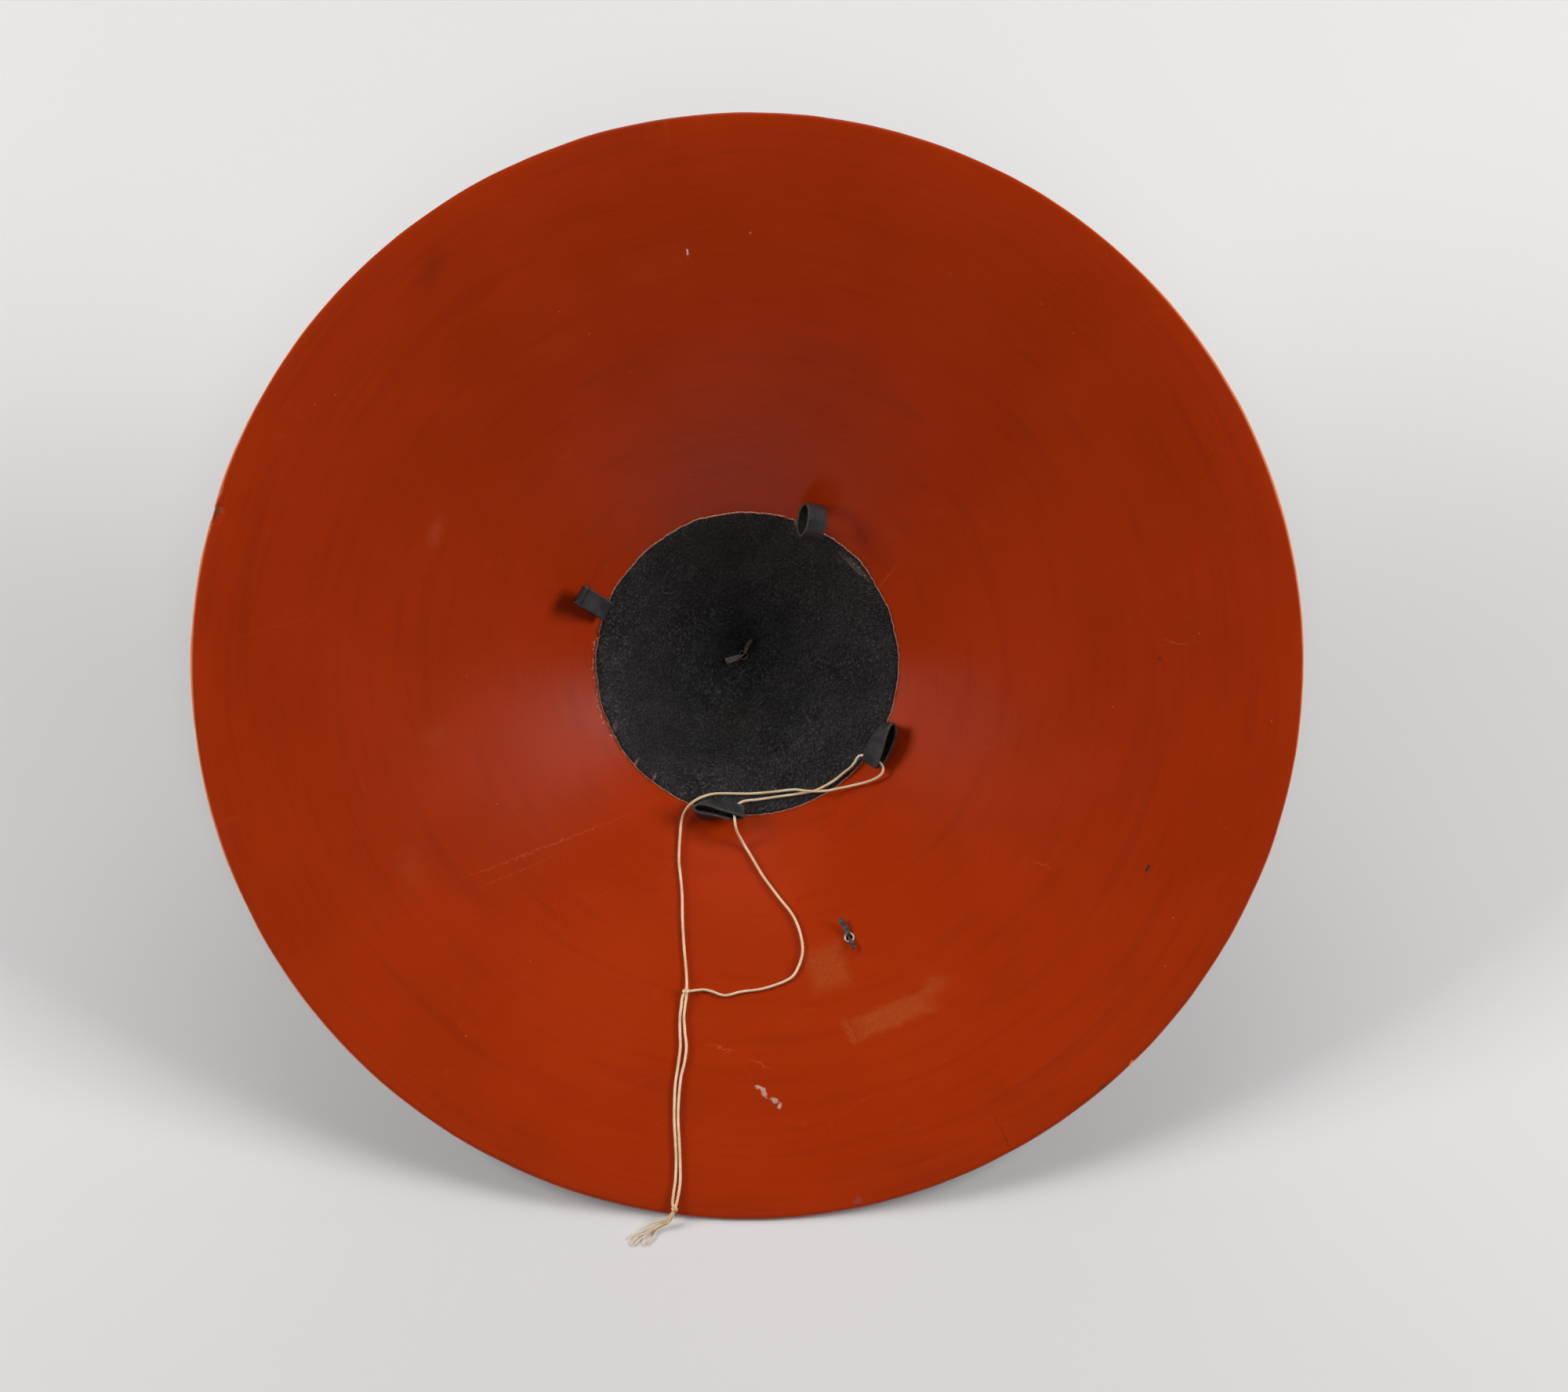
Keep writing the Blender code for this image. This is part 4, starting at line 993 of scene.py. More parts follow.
def make_crown_fitting(metal, shade):
    """Crown eyelet with its boss outside, its edges rounded by wear."""
    rows = lip_rows(crown_seat())
    under = [offset(r, -SHELL_WALL - 0.12) for r in (2.6, 5.0, 8.0, 11.5, 14.0)]
    end_z = inner_height(BOSS_RADIUS) - (SHELL_WALL + 0.39) * math.hypot(1, inner_slope(BOSS_RADIUS))
    low_z = end_z - BOSS_SIDE
    fall = (BOSS_RADIUS - BOSS_FACE_RADIUS) / (low_z - BOSS_FACE_Z)
    rows += [(FERRULE_RADIUS, under[0][1] - 0.1, 0, 0)]
    rows += [(r, z, 0, 0) for r, z in under]
    side = [(0.5, end_z - 0.05), (0.12, end_z - 0.2), (0.0, end_z - 0.6), (0.0, end_z - 1.3)]
    side += [(0.35, end_z - 1.45), (0.35, end_z - 1.75), (0.0, end_z - 1.9), (0.0, low_z + 0.3)]
    side += [(0.3, low_z - 0.1)]
    rows += [(BOSS_RADIUS - cut, z, BOSS_FLATS, 0) for cut, z in side]
    face = [(0.5 * fall, BOSS_FACE_Z + 0.4), (0.0, BOSS_FACE_Z + 0.08), (-0.5, BOSS_FACE_Z)]
    rows += [(BOSS_FACE_RADIUS + out, z, BOSS_FLATS, 0) for out, z in face]
    rows += [(6.0, BOSS_FACE_Z, 0, 0), (0.0, BOSS_FACE_Z, 0, 0)]
    return settle(turned("crown_boss_eyelet", rows, HAT, (metal, shade)), "dark_metal", "crown_eyelet")


def make_rear_fitting(metal, shade):
    """Rear eyelet with its stud outside."""
    back, face = STUD_BACK, STUD_BACK - STUD_HEIGHT
    rows = lip_rows(0.1)
    stud = [(FERRULE_RADIUS, back), (STUD_RADIUS - 0.4, back), (STUD_RADIUS - 0.1, back - 0.1)]
    stud += [(STUD_RADIUS, back - 0.35), (STUD_RADIUS, back - 0.9), (4.85, back - 1.35), (4.5, back - 1.75)]
    stud += [(STUD_FACE_RADIUS, face + 0.06), (3.6, face), (0.0, face)]
    rows += [(r, z, 0, 0) for r, z in stud]
    placement = on_shell(REAR_HOLE)
    settle(turned("rear_stud_eyelet", rows, placement, (metal, shade)), "pale_metal", "rear_eyelet")
    return placement


def make_lace(name, node, rows, placement, finish, seed):
    """Leather lace spread over an eyelet.

    A row is the middle of a section (x, y, z), the direction of its width, its width and its thickness.
    """
    rows = [Vector(row) for row in rows]
    rows = [2 * rows[0] - rows[1]] + rows + [2 * rows[-1] - rows[-2]]
    dense = [curve_point(rows, k, n / 8) for k in range(1, len(rows) - 2) for n in range(8)] + [rows[-2]]
    section = [(-0.5, 0.0), (-0.46, 0.42), (-0.3, 0.5), (-0.1, 0.46), (0.1, 0.46), (0.3, 0.5), (0.46, 0.42),
               (0.5, 0.0), (0.46, -0.42), (0.2, -0.5), (-0.2, -0.5), (-0.46, -0.42)]
    points = []
    for x, y, z, angle, width, thick in dense:
        side = Vector((math.cos(math.radians(angle)), math.sin(math.radians(angle)), 0))
        for a, b in section:
            place = Vector((x, y, z)) + side * (a * width) + Vector((0, 0, b * thick))
            wave = Vector((rough(place, 1.1, seed), rough(place, 1.1, seed + 1), rough(place, 1.3, seed + 2)))
            points.append(place + wave * 0.13)
    faces = ring_faces(len(dense), len(section))
    last = (len(dense) - 1) * len(section)
    faces += [tuple(reversed(range(len(section)))), tuple(last + k for k in range(len(section)))]
    return settle(add_piece(name, points, faces, (finish,), placement, sharp=45), "thong_leather", node)


def connect(entry, source):
    """Give a node's input a value or another node's output."""
    if isinstance(source, bpy.types.NodeSocket):
        entry.id_data.links.new(source, entry)
    else:
        entry.default_value = source


def add_node(kind, inputs, tree=None, **settings):
    """Add a shader node to a tree, or else to the one that its first joined input belongs to."""
    tree = tree or next(i.id_data for i in inputs.values() if isinstance(i, bpy.types.NodeSocket))
    made = tree.nodes.new("ShaderNode" + kind)
    for key, value in settings.items():
        setattr(made, key, value)
    for key, source in inputs.items():
        connect(made.inputs[key], source)
    return made


def new_material(name, roughness=0.5, metallic=0.0):
    """Material and the hat's own coordinates in millimetres for it."""
    made = bpy.data.materials.new(name)
    made.use_nodes = True
    feed(made, "Roughness", roughness)
    feed(made, "Metallic", metallic)
    place = add_node("TexCoord", {}, made.node_tree).outputs["Object"]
    hat = {"Vector": place, "Location": HAT.translation, "Rotation": HAT.to_euler(), "Scale": (MM,) * 3}
    return made, add_node("Mapping", hat, vector_type='TEXTURE').outputs[0]


def feed(made, name, source):
    """Give an input of a material's shader a value or another node's output."""
    connect(made.node_tree.nodes["Principled BSDF"].inputs[name], source)


def worn_edges(place, start, end, *amounts):
    """Mask of the mesh's sharp outward or inward edges."""
    pointed = add_node("NewGeometry", {}, place.id_data).outputs["Pointiness"]
    return fade(pointed, start, end, *amounts)


def stretched(place, turn=0.0, size=(1.0, 1.0, 1.0)):
    """Coordinates turned about the hat's axis and divided by a size in millimetres along each axis."""
    inputs = {"Vector": place, "Rotation": (0, 0, math.radians(turn)), "Scale": size}
    return add_node("Mapping", inputs, vector_type='TEXTURE').outputs[0]


def cloudy(place, size, detail=3.0, roughness=0.5, distortion=0.0):
    """Noise from about 0.3 to 0.7 whose bumps have a size in millimetres."""
    inputs = {"Vector": place, "Scale": 1 / size, "Detail": detail, "Roughness": roughness}
    inputs["Distortion"] = distortion
    return add_node("TexNoise", inputs).outputs[0]


def fade(value, start, end, low=0.0, high=1.0):
    """Smooth step from low to high as the value goes from start to end."""
    inputs = {"Value": value, "From Min": start, "From Max": end, "To Min": low, "To Max": high}
    return add_node("MapRange", inputs, interpolation_type='SMOOTHSTEP').outputs[0]


def calc(operation, a, b=0.0, clamp=False):
    """Arithmetic on two values."""
    return add_node("Math", {0: a, 1: b}, operation=operation, use_clamp=clamp).outputs[0]


def times(a, b):
    """Product of two values."""
    return calc('MULTIPLY', a, b)


def blend(factor, a, b, mode='MIX'):
    """Mix of two colours."""
    a, b = ((*c, 1.0) if isinstance(c, tuple) and len(c) == 3 else c for c in (a, b))
    made = add_node("Mix", {0: factor, 6: a, 7: b}, data_type='RGBA', blend_type=mode)
    return made.outputs[2]


def bump(height, distance, strength=1.0, normal=None):
    """Bump whose height of one stands distance millimetres proud."""
    inputs = {"Height": height, "Distance": distance * MM, "Strength": strength}
    if normal is not None:
        inputs["Normal"] = normal
    return add_node("Bump", inputs).outputs[0]


def polar(place, round_size, out_size):
    """Coordinates that run round the hat slowly and outward fast, for marks left by turning."""
    flat = add_node("VectorMath", {0: place, 1: (1, 1, 0)}, operation='MULTIPLY').outputs[0]
    unit = add_node("VectorMath", {0: flat}, operation='NORMALIZE').outputs[0]
    reach = add_node("VectorMath", {0: flat}, operation='LENGTH').outputs["Value"]
    out = add_node("CombineXYZ", {2: calc('DIVIDE', reach, out_size)}).outputs[0]
    inputs = {0: unit, 1: (RIM_RADIUS / round_size,) * 3, 2: out}
    return add_node("VectorMath", inputs, operation='MULTIPLY_ADD').outputs[0], reach


def spot(place, mark):
    """Mask of one mark: an ellipse, or a rectangle if it is square, with its edge faded."""
    inputs = {"Vector": place, "Location": (mark.x, mark.y, 0), "Rotation": (0, 0, math.radians(mark.turn)),
              "Scale": (mark.long / 2, mark.wide / 2, 1e5)}
    local = add_node("Mapping", inputs, vector_type='TEXTURE').outputs[0]
    if mark.square:
        local = add_node("VectorMath", {0: local}, operation='ABSOLUTE').outputs[0]
        parts = add_node("SeparateXYZ", {0: local})
        reach = calc('MAXIMUM', parts.outputs[0], parts.outputs[1])
    else:
        reach = add_node("VectorMath", {0: local}, operation='LENGTH').outputs["Value"]
    return fade(reach, 1 + mark.edge, 1 - mark.edge)


def specks(place, spacing, size, share):
    """Mask of scattered dots, one in each share of the cells."""
    cells = add_node("TexVoronoi", {"Vector": place, "Scale": 1 / spacing})
    near = fade(cells.outputs["Distance"], size / spacing, 0.4 * size / spacing)
    chosen = add_node("SeparateColor", {0: cells.outputs["Color"]}).outputs[0]
    return times(near, calc('LESS_THAN', chosen, share))


def hairlines(place, turn, size, width, share):
    """Mask of fine scratches along one direction, broken up by noise."""
    along = stretched(place, turn, size)
    cells = add_node("TexVoronoi", {"Vector": along, "Scale": 1.0}, feature='DISTANCE_TO_EDGE')
    line = fade(cells.outputs["Distance"], width, 0.0)
    broken = fade(cloudy(place, 22.0, 2.0), 0.62 - share, 0.66 - share)
    return times(line, broken)


def vermilion_lacquer():
    """Satin vermilion lacquer with clouding, brush streaks, specks, scratches and the rubbed marks, one of
    them a painted highlight at the rim's chip, and a rim edge made lighter by wear and by painted highlight.
    """
    made, place = new_material("vermilion_lacquer", 0.36)
    ring, reach = polar(place, 80.0, 2.4)
    fine_ring, _ = polar(place, 45.0, 0.9)
    clouds = cloudy(place, 60.0, 4.0, 0.55)
    streaks = cloudy(ring, 1.0, 1.5, 0.5)
    fine_streaks = cloudy(fine_ring, 1.0, 1.0, 0.5)
    broad_ring, _ = polar(place, 95.0, 5.0)
    sweeps = cloudy(broad_ring, 1.0, 1.0, 0.5)
    colour = blend(fade(clouds, 0.35, 0.65), LACQUER_DEEP, LACQUER_BRIGHT)
    near_rim = fade(reach, 150.0, 224.0)
    streak_mask = fade(reach, 120.0, 222.0, 0.05, 0.14)
    streak_mask = times(fade(streaks, 0.50, 0.72), streak_mask)
    colour = blend(streak_mask, colour, LACQUER_SHADE)
    colour = blend(fade(sweeps, 0.52, 0.75, 0.0, 0.16), colour, LACQUER_SHADE)
    fine_mask = times(fade(fine_streaks, 0.52, 0.70), times(near_rim, 0.14))
    colour = blend(fine_mask, colour, LACQUER_SHADE)
    worn = fade(cloudy(place, 9.0, 5.0, 0.7), 0.60, 0.80, 0.0, 0.14)
    colour = blend(worn, colour, LACQUER_WORN)
    jitter = add_node("TexNoise", {"Vector": place, "Scale": 1 / 2.6, "Detail": 4.0}).outputs[1]
    jitter = add_node("VectorMath", {0: jitter, 1: (0.5, 0.5, 0.5)}, operation='SUBTRACT').outputs[0]
    jitter = add_node("VectorMath", {0: jitter, "Scale": 4.0}, operation='SCALE').outputs[0]
    shaken = add_node("VectorMath", {0: place, 1: jitter}, operation='ADD').outputs[0]
    grain = cloudy(place, 0.9, 4.0, 0.7)
    matte = None
    for mark in MARKS:
        mask = spot(shaken, mark)
        texture = fade(grain, 0.58 - 0.5 * mark.cover, 0.88 - 0.5 * mark.cover, 0.45, 1.0)
        mask = times(times(mask, texture), mark.amount)
        colour = blend(mask, colour, mark.colour)
        matte = mask if matte is None else calc('MAXIMUM', matte, mask)
    dots = specks(place, 13.0, 0.42, 0.55)
    colour = blend(times(dots, 0.6), colour, LACQUER_SPECK)
    dust = specks(place, 5.0, 0.22, 0.35)
    colour = blend(times(dust, 0.45), colour, LACQUER_SPECK)
    scratch = calc('MAXIMUM', hairlines(place, 24.0, (90.0, 9.0, 60.0), 0.012, 0.03),
                   hairlines(place, 118.0, (70.0, 9.0, 60.0), 0.010, 0.02))
    colour = blend(times(scratch, 0.10), colour, LACQUER_WORN)
    # Lighter orange on the rim's very edge: wear, and painted highlight standing in for the lit line along
    # the rim.
    edge_wear_and_highlight = fade(calc('ADD', reach, times(clouds, 1.2)), 225.0, 225.8)
    colour = blend(times(edge_wear_and_highlight, 0.65), colour, LACQUER_EDGE_AND_HIGHLIGHT)
    feed(made, "Base Color", colour)
    haze = fade(clouds, 0.3, 0.7, 0.26, 0.31)
    haze = calc('ADD', haze, fade(streaks, 0.4, 0.7, 0.0, 0.03))
    haze = calc('ADD', haze, times(matte, 0.12))
    feed(made, "Roughness", haze)
    feed(made, "Specular IOR Level", 0.4)
    normal = bump(cloudy(place, 7.0, 2.0), 0.12, 0.5)
    normal = bump(cloudy(place, 1.1, 3.0, 0.6), 0.018, 0.6, normal)
    normal = bump(fine_streaks, 0.006, 0.5, normal)
    normal = bump(calc('SUBTRACT', dots, times(scratch, 0.3)), 0.05, 0.6, normal)
    feed(made, "Normal", normal)
    return made


def black_lacquer():
    """Outer face: plain black lacquer, brushed round the hat, rubbed brown towards the rim."""
    made, place = new_material("black_lacquer", 0.25)
    ring, reach = polar(place, 60.0, 1.1)
    streaks = cloudy(ring, 1.0, 4.0, 0.6)
    clouds = cloudy(place, 45.0, 4.0, 0.6)
    colour = blend(fade(clouds, 0.35, 0.65), (0.008, 0.007, 0.007), (0.018, 0.014, 0.012))
    worn = fade(cloudy(place, 5.0, 5.0, 0.7), 0.48, 0.66)
    worn = times(worn, fade(reach, 205.0, 225.0))
    colour = blend(times(worn, 0.7), colour, (0.10, 0.035, 0.018))
    scratch = hairlines(place, 35.0, (50.0, 6.0, 50.0), 0.018, 0.10)
    colour = blend(times(scratch, 0.35), colour, (0.09, 0.08, 0.075))
    dust = specks(place, 7.0, 0.35, 0.4)
    colour = blend(times(dust, 0.4), colour, (0.15, 0.12, 0.10))
    feed(made, "Base Color", colour)
    gloss = fade(clouds, 0.3, 0.7, 0.17, 0.30)
    gloss = calc('ADD', gloss, fade(streaks, 0.4, 0.7, 0.0, 0.08))
    feed(made, "Roughness", gloss)
    normal = bump(cloudy(place, 8.0, 2.0), 0.12, 0.5)
    normal = bump(streaks, 0.03, 0.5, normal)
    feed(made, "Normal", normal)
    return made


def pad_leather():
    """Black pebbled hide with fine drawn-out grain; its colour has painted highlight on the high spots and
    painted shade in the hollows.
    """
    made, place = new_material("pad_leather", 0.5)
    warp = add_node("TexNoise", {"Vector": place, "Scale": 1 / 40.0, "Detail": 1.0}).outputs[1]
    warp = add_node("VectorMath", {0: warp, "Scale": 26.0}, operation='SCALE').outputs[0]
    bent = add_node("VectorMath", {0: place, 1: warp}, operation='ADD').outputs[0]
    drawn = stretched(bent, 58.0, (1.35, 0.80, 1.0))
    cells = {"Vector": drawn, "Scale": 1.0, "Smoothness": 0.3}
    pebbles = add_node("TexVoronoi", cells, feature='SMOOTH_F1').outputs["Distance"]
    pores = cloudy(stretched(bent, 58.0, (1.2, 0.5, 0.8)), 1.0, 4.0, 0.65)
    folds = cloudy(stretched(bent, 48.0, (1.30, 0.80, 1.1)), 1.0, 3.0, 0.6, 0.6)
    fuzz = cloudy(place, 0.35, 3.0, 0.7)
    mottled = cloudy(place, 16.0, 4.0, 0.6)
    colour = blend(fade(mottled, 0.35, 0.7), (0.016, 0.0165, 0.018), (0.032, 0.032, 0.033))
    # Pebble tops lighter grey: painted highlight on the grain.
    colour = blend(fade(pebbles, 0.45, 0.10, 0.0, 0.6), colour, (0.070, 0.070, 0.073))
    bits = specks(place, 4.5, 0.20, 0.30)
    colour = blend(times(bits, 0.5), colour, (0.25, 0.22, 0.20))
    for mark in PAD_MARKS:
        texture = fade(pores, 0.52 - 0.5 * mark.cover, 0.84 - 0.5 * mark.cover, 0.2, 1.0)
        mask = times(spot(place, mark), texture)
        colour = blend(times(mask, mark.amount), colour, mark.colour)
    # Relief also multiplies the colour: painted shade in the grain's hollows and folds, painted highlight on
    # their tops. It is the bump height as well.
    relief = fade(pebbles, 0.60, 0.15, 0.72, 1.25)
    relief = times(fade(folds, 0.34, 0.68, 0.50, 1.65), relief)
    colour = blend(1.0, colour, relief, 'MULTIPLY')
    brown = times(fade(cloudy(place, 4.0, 5.0, 0.75), 0.62, 0.74), 0.25)
    colour = blend(brown, colour, (0.10, 0.06, 0.04))
    feed(made, "Base Color", colour)
    feed(made, "Roughness", fade(pores, 0.3, 0.7, 0.42, 0.62))
    feed(made, "Specular IOR Level", 0.55)
    normal = bump(relief, 0.16, 0.9)
    normal = bump(pebbles, -0.16, 0.8, normal)
    normal = bump(pores, 0.12, 0.7, normal)
    normal = bump(fuzz, 0.05, 0.5, normal)
    feed(made, "Normal", normal)
    return made


def plain_hide(name, dark, light, size, roughness, relief):
    """Leather in two shades with its own relief: cut edges, suede, fibres and laces."""
    made, place = new_material(name, roughness)
    field = cloudy(place, size, 5.0, 0.65)
    fine = cloudy(place, size * 0.22, 3.0, 0.7)
    colour = blend(fade(field, 0.36, 0.66), dark, light)
    brighter = tuple(min(1.0, 1.7 * c) for c in light)
    colour = blend(fade(fine, 0.52, 0.72, 0.0, 0.35), colour, brighter)
    feed(made, "Base Color", colour)
    normal = bump(field, relief, 0.7)
    normal = bump(fine, relief * 0.4, 0.7, normal)
    feed(made, "Normal", normal)
    return made


def strap_leather():
    """Smooth black strap leather with fine scuffs and creases."""
    made, place = new_material("strap_leather", 0.42)
    clouds = cloudy(place, 6.0, 4.0, 0.6)
    colour = blend(fade(clouds, 0.35, 0.68), (0.030, 0.032, 0.035), (0.055, 0.058, 0.062))
    scuff = hairlines(place, 40.0, (5.0, 0.8, 5.0), 0.05, 0.12)
    colour = blend(times(scuff, 0.4), colour, (0.12, 0.12, 0.125))
    worn = worn_edges(place, 0.53, 0.60, 0.0, 0.5)
    colour = blend(worn, colour, (0.13, 0.125, 0.125))
    feed(made, "Base Color", colour)
    feed(made, "Roughness", fade(clouds, 0.3, 0.7, 0.36, 0.50))
    normal = bump(cloudy(place, 1.6, 4.0, 0.6), 0.10, 0.6)
    normal = bump(cloudy(place, 0.3, 3.0, 0.6), 0.025, 0.6, normal)
    feed(made, "Normal", normal)
    return made


def cord_fibre():
    """Cream cord: pale on the plies, painted tan shade in the grooves, with fine fibres."""
    made, place = new_material("cord_fibre", 0.78)
    clouds = cloudy(place, 7.0, 3.0)
    colour = blend(fade(clouds, 0.35, 0.65), (0.82, 0.61, 0.35), (0.93, 0.76, 0.52))
    # Tan in the grooves between the plies: painted shade.
    painted_groove_shade = worn_edges(place, 0.50, 0.42)
    colour = blend(times(painted_groove_shade, 0.8), colour, (0.42, 0.22, 0.09))
    fine = cloudy(place, 0.22, 3.0, 0.7)
    colour = blend(fade(fine, 0.50, 0.75, 0.0, 0.25), colour, (0.55, 0.36, 0.18))
    feed(made, "Base Color", colour)
    feed(made, "Sheen Weight", 0.25)
    feed(made, "Sheen Roughness", 0.6)
    feed(made, "Normal", bump(fine, 0.06, 0.8))
    return made


def old_metal(name, dark, light, roughness, metallic=1.0):
    """Metal with tarnish in two tones and fine wear; dull coats are less metallic."""
    made, place = new_material(name, roughness, metallic)
    tarnish = cloudy(place, 2.4, 5.0, 0.7)
    colour = blend(fade(tarnish, 0.40, 0.62), dark, light)
    worn = worn_edges(place, 0.52, 0.60, 0.0, 0.6)
    colour = blend(worn, colour, tuple(min(1.0, 1.5 * c) for c in light))
    feed(made, "Base Color", colour)
    dull = fade(tarnish, 0.3, 0.7, roughness + 0.12, roughness - 0.08)
    feed(made, "Roughness", dull)
    normal = bump(cloudy(place, 0.5, 4.0, 0.7), 0.03, 0.6)
    feed(made, "Normal", normal)
    return made


def studio_floor():
    """Pale matt floor with faint unevenness."""
    made, place = new_material("studio_floor", 0.7)
    clouds = cloudy(place, 300.0, 4.0)
    feed(made, "Base Color", blend(clouds, FLOOR_LOW, FLOOR_HIGH))
    feed(made, "Normal", bump(cloudy(place, 1.5, 3.0), 0.05, 0.3))
    return made


def make_floor():
    """Large pale floor."""
    mesh = bpy.data.meshes.new("studio_floor")
    half = FLOOR_SIDE / 2 * MM
    corners = [(-half, -half, 0), (half, -half, 0), (half, half, 0), (-half, half, 0)]
    mesh.from_pydata(corners, [], [(0, 1, 2, 3)])
    mesh.materials.append(studio_floor())
    add_object("studio_floor", mesh)


def make_camera():
    """Camera at the photograph's angle to the hat."""
    side, rise = math.radians(CAMERA_SIDE), math.radians(CAMERA_RISE)
    away = Vector((math.sin(side), math.sin(rise), 0))
    away.z = math.sqrt(1 - away.length_squared)
    target = Vector(CAMERA_TARGET)
    back = (HAT.to_3x3() @ away).normalized()
    up = HAT.to_3x3() @ Vector((0, 1, 0))
    right = up.cross(back).normalized()
    turn = facing(right, back.cross(right), back)
    data = bpy.data.cameras.new("camera")
    data.sensor_width = CAMERA_SENSOR
    data.lens = CAMERA_SENSOR * CAMERA_DISTANCE / VIEW_WIDTH
    data.clip_end = 100.0
    camera = add_object("camera", data)
    camera.matrix_world = Matrix.Translation(HAT @ (target * MM) + back * CAMERA_DISTANCE * MM) @ turn
    bpy.context.scene.camera = camera


def make_lights():
    """Soft area lights, some of them kept out of reflections, and a dim even surround."""
    target = HAT @ Vector((0, 0, -40 * MM))
    for light in LIGHTS:
        away = (HAT.to_3x3() @ Vector(light.direction)).normalized()
        data = bpy.data.lights.new(light.name, 'AREA')
        data.shape = 'RECTANGLE'
        data.size, data.size_y = light.wide * MM, light.high * MM
        data.energy = light.power
        data.color = LIGHT_COLOUR
        lamp = add_object(light.name, data)
        right = (HAT.to_3x3() @ Vector((0, 0, 1))).cross(away).normalized()
        turn = facing(right, away.cross(right), away)
        lamp.matrix_world = Matrix.Translation(target + away * light.distance * MM) @ turn
        lamp.visible_camera = False
        lamp.visible_glossy = light.glossy
    world = bpy.data.worlds.new("surround")
    world.use_nodes = True
    background = world.node_tree.nodes["Background"]
    background.inputs["Color"].default_value = (*SURROUND, 1.0)
    background.inputs["Strength"].default_value = SURROUND_STRENGTH
    bpy.context.scene.world = world
    bpy.context.scene.view_settings.view_transform = 'Standard'


def crown_lace_rows():
    """Sections of the crown's lace: a short left tail, the root in the eyelet and a curled right tail."""
    top = crown_seat() + 2 * LIP_WIRE + CROWN_LACE_LIFT
    plan = ((-7.6, -2.6, 108, 2.7), (-4.4, -1.6, 106, 2.7), (-2.3, -0.9, 108, 2.4), (-0.9, -0.3, 112, 1.2),
            (0.0, 0.1, 128, 0.9), (0.55, 0.95, 150, 1.1), (1.2, 2.6, 172, 1.5), (1.9, 4.4, 160, 1.5),
            (3.6, 6.4, 128, 1.6))
    rows = []
    for x, y, angle, width in plan:
        z = max(lay_point(x, y, PAD_TOP + 1.0).z, top)
        dip = 1.3 * math.exp(-(x * x + y * y) / 1.2)
        rows.append((x, y, z - dip, angle, width, 0.62))
    return rows


def rear_lace_rows():
    """Sections of the rear lace, in the eyelet's own axes: long tail up the hat, short tail down it."""
    top = 0.1 + 2 * LIP_WIRE + 0.35
    return ((-8.6, -0.9, top + 0.9, 92, 2.3, 0.6), (-5.6, -0.3, top + 0.5, 86, 2.2, 0.6),
            (-2.6, 0.1, top, 88, 2.5, 0.6), (-1.0, 0.0, top - 0.2, 90, 1.3, 0.7),
            (0.0, 0.0, top - 1.2, 90, 1.0, 0.8), (1.0, 0.0, top - 0.2, 90, 1.2, 0.7),
            (2.6, 0.1, top, 91, 1.7, 0.6), (4.4, 0.4, top + 0.3, 84, 1.6, 0.6),
            (6.2, 0.1, top + 0.7, 104, 1.8, 0.6))


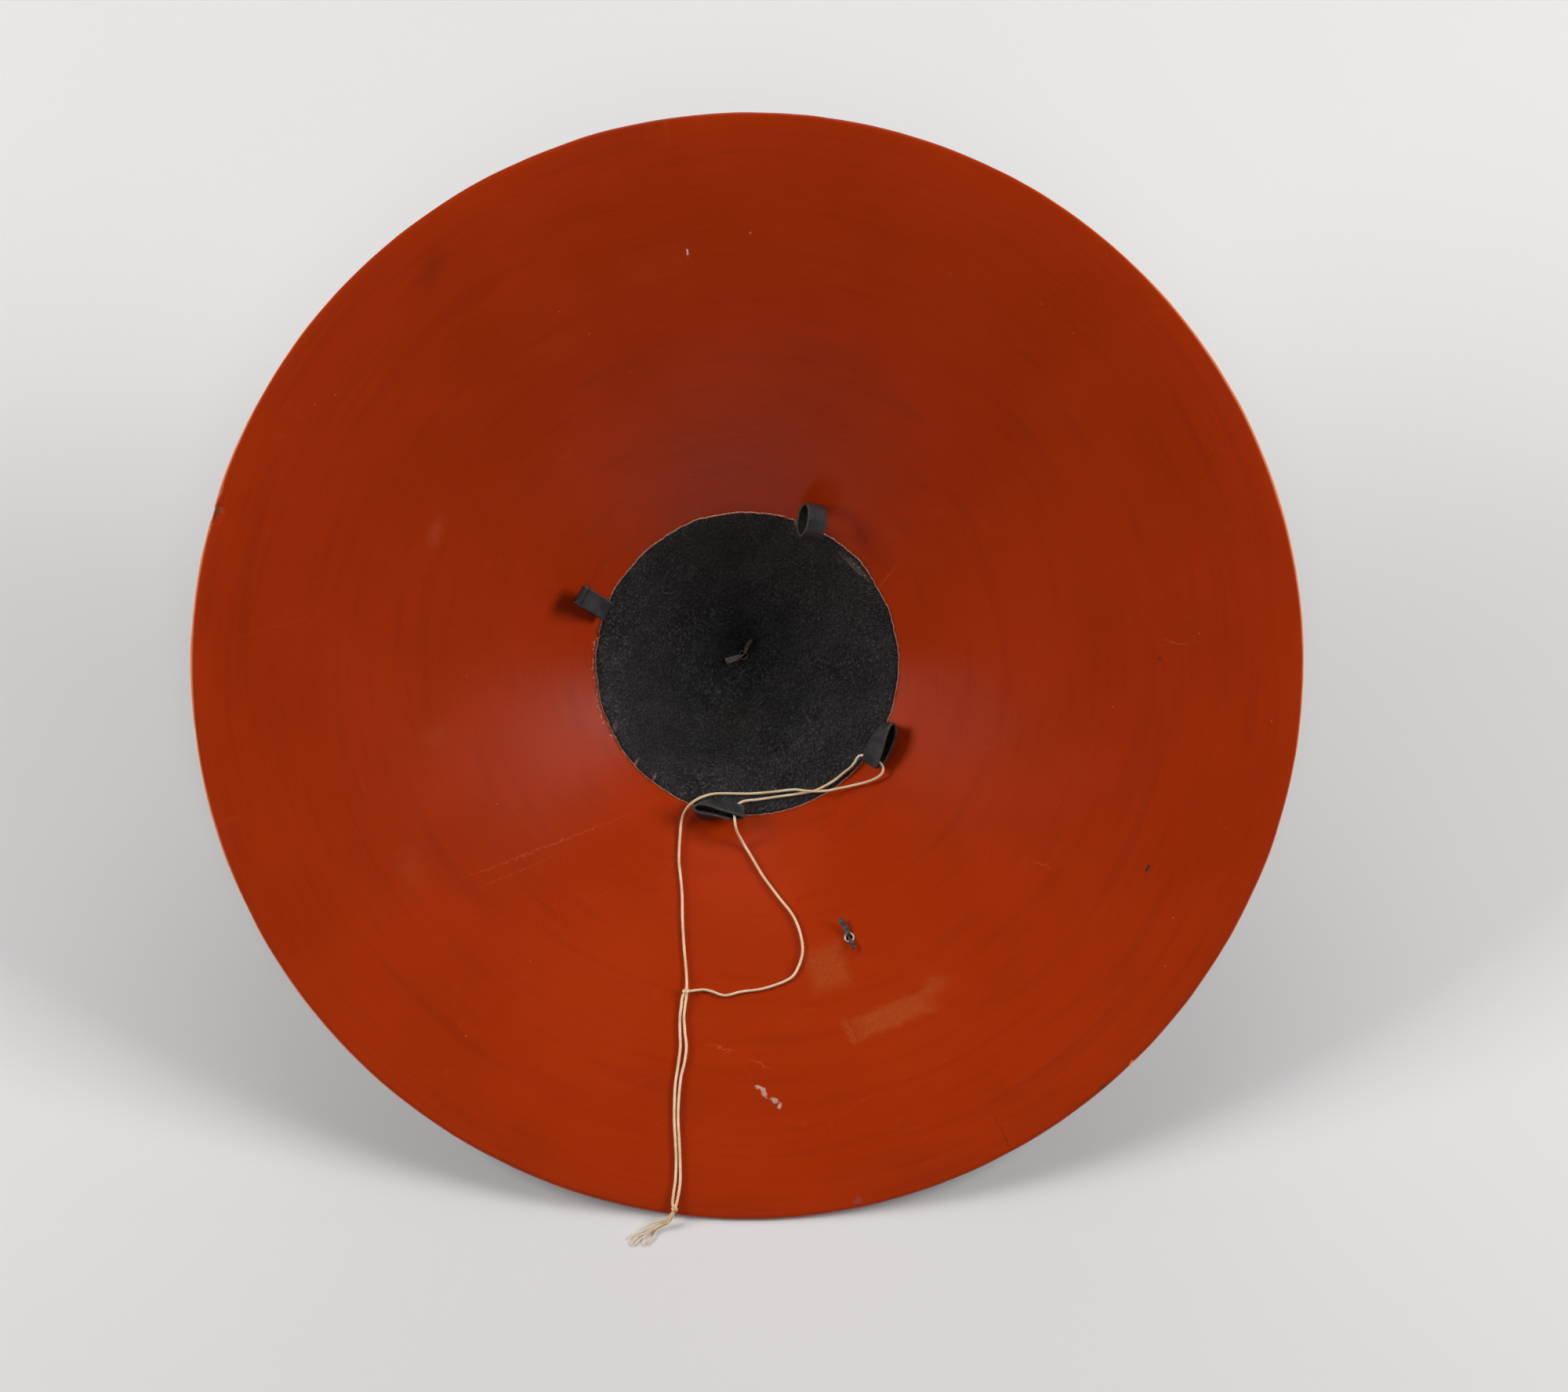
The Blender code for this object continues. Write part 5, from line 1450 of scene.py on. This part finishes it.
def main():
    """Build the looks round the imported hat."""
    make_camera()
    cream = cord_fibre()
    upper_knot = make_knot("knot_at_fork", UPPER_KNOT, "knot_upper", cream)
    lower_knot = make_knot("knot_at_rim", LOWER_KNOT, "knot_lower", cream)
    ends = make_frayed_ends(cream)
    left = make_cord("cord_left", LEFT_UPPER, LEFT_LOWER, ("cord_left_upper", "cord_left_lower"),
                     cream)
    right = make_cord("cord_right", RIGHT_UPPER, RIGHT_LOWER, ("cord_right_upper", "cord_right_lower"),
                      cream)
    make_cord_fuzz((left, right), cream)
    make_shell(vermilion_lacquer(), black_lacquer())
    cut_edge = plain_hide("pad_cut_edge", (0.46, 0.13, 0.07), (0.88, 0.50, 0.36), 0.7, 0.7, 0.06)
    fibre = plain_hide("leather_fibre", (0.030, 0.022, 0.020), (0.085, 0.065, 0.058), 0.8, 0.8, 0.05)
    suede = plain_hide("strap_suede", (0.010, 0.009, 0.009), (0.030, 0.026, 0.025), 0.7, 0.9, 0.25)
    worn_edge = plain_hide("strap_edge", (0.030, 0.028, 0.027), (0.115, 0.105, 0.098), 0.6, 0.75, 0.15)
    flake = plain_hide("lacquer_flake", (0.62, 0.30, 0.20), (0.86, 0.66, 0.58), 0.9, 0.5, 0.05)
    make_pad(pad_leather(), cut_edge)
    make_pad_fibres(fibre)
    make_pad_flakes(flake)
    strap = strap_leather()
    for name, node, edges, seed in (
            ("loop_upper", "ring_upper", oval_edges(UPPER_LOOP), 61),
            ("loop_left", "ring_left", oval_edges(LEFT_LOOP), 67),
            ("loop_right", "ring_right", bent_edges(RIGHT_LOOP), 71),
            ("loop_lower", "ring_lower", bent_edges(LOWER_LOOP), 79)):
        make_strap(name, node, strap_lines(*edges), (strap, worn_edge, suede, fibre), seed)
    make_crumple(strap_lines(*bent_edges(LOWER_LOOP)), suede)
    shade = old_metal("eyelet_shade", (0.010, 0.008, 0.006), (0.030, 0.022, 0.016), 0.6)
    brass = old_metal("dark_brass", (0.10, 0.075, 0.040), (0.40, 0.32, 0.20), 0.36, 0.6)
    make_crown_fitting(brass, shade)
    pale = old_metal("white_metal", (0.58, 0.52, 0.43), (0.90, 0.86, 0.78), 0.40, 0.3)
    rear = make_rear_fitting(pale, shade)
    make_lace("crown_lace", "crown_thong", crown_lace_rows(), HAT,
              plain_hide("brown_lace", (0.095, 0.070, 0.060), (0.24, 0.19, 0.165), 1.6, 0.65, 0.12), 83)
    make_lace("rear_lace", "rear_thong", rear_lace_rows(), rear,
              plain_hide("grey_lace", (0.035, 0.031, 0.031), (0.12, 0.10, 0.10), 1.5, 0.6, 0.12), 89)
    make_floor()
    make_lights()


HAT = hat_placement()
main()
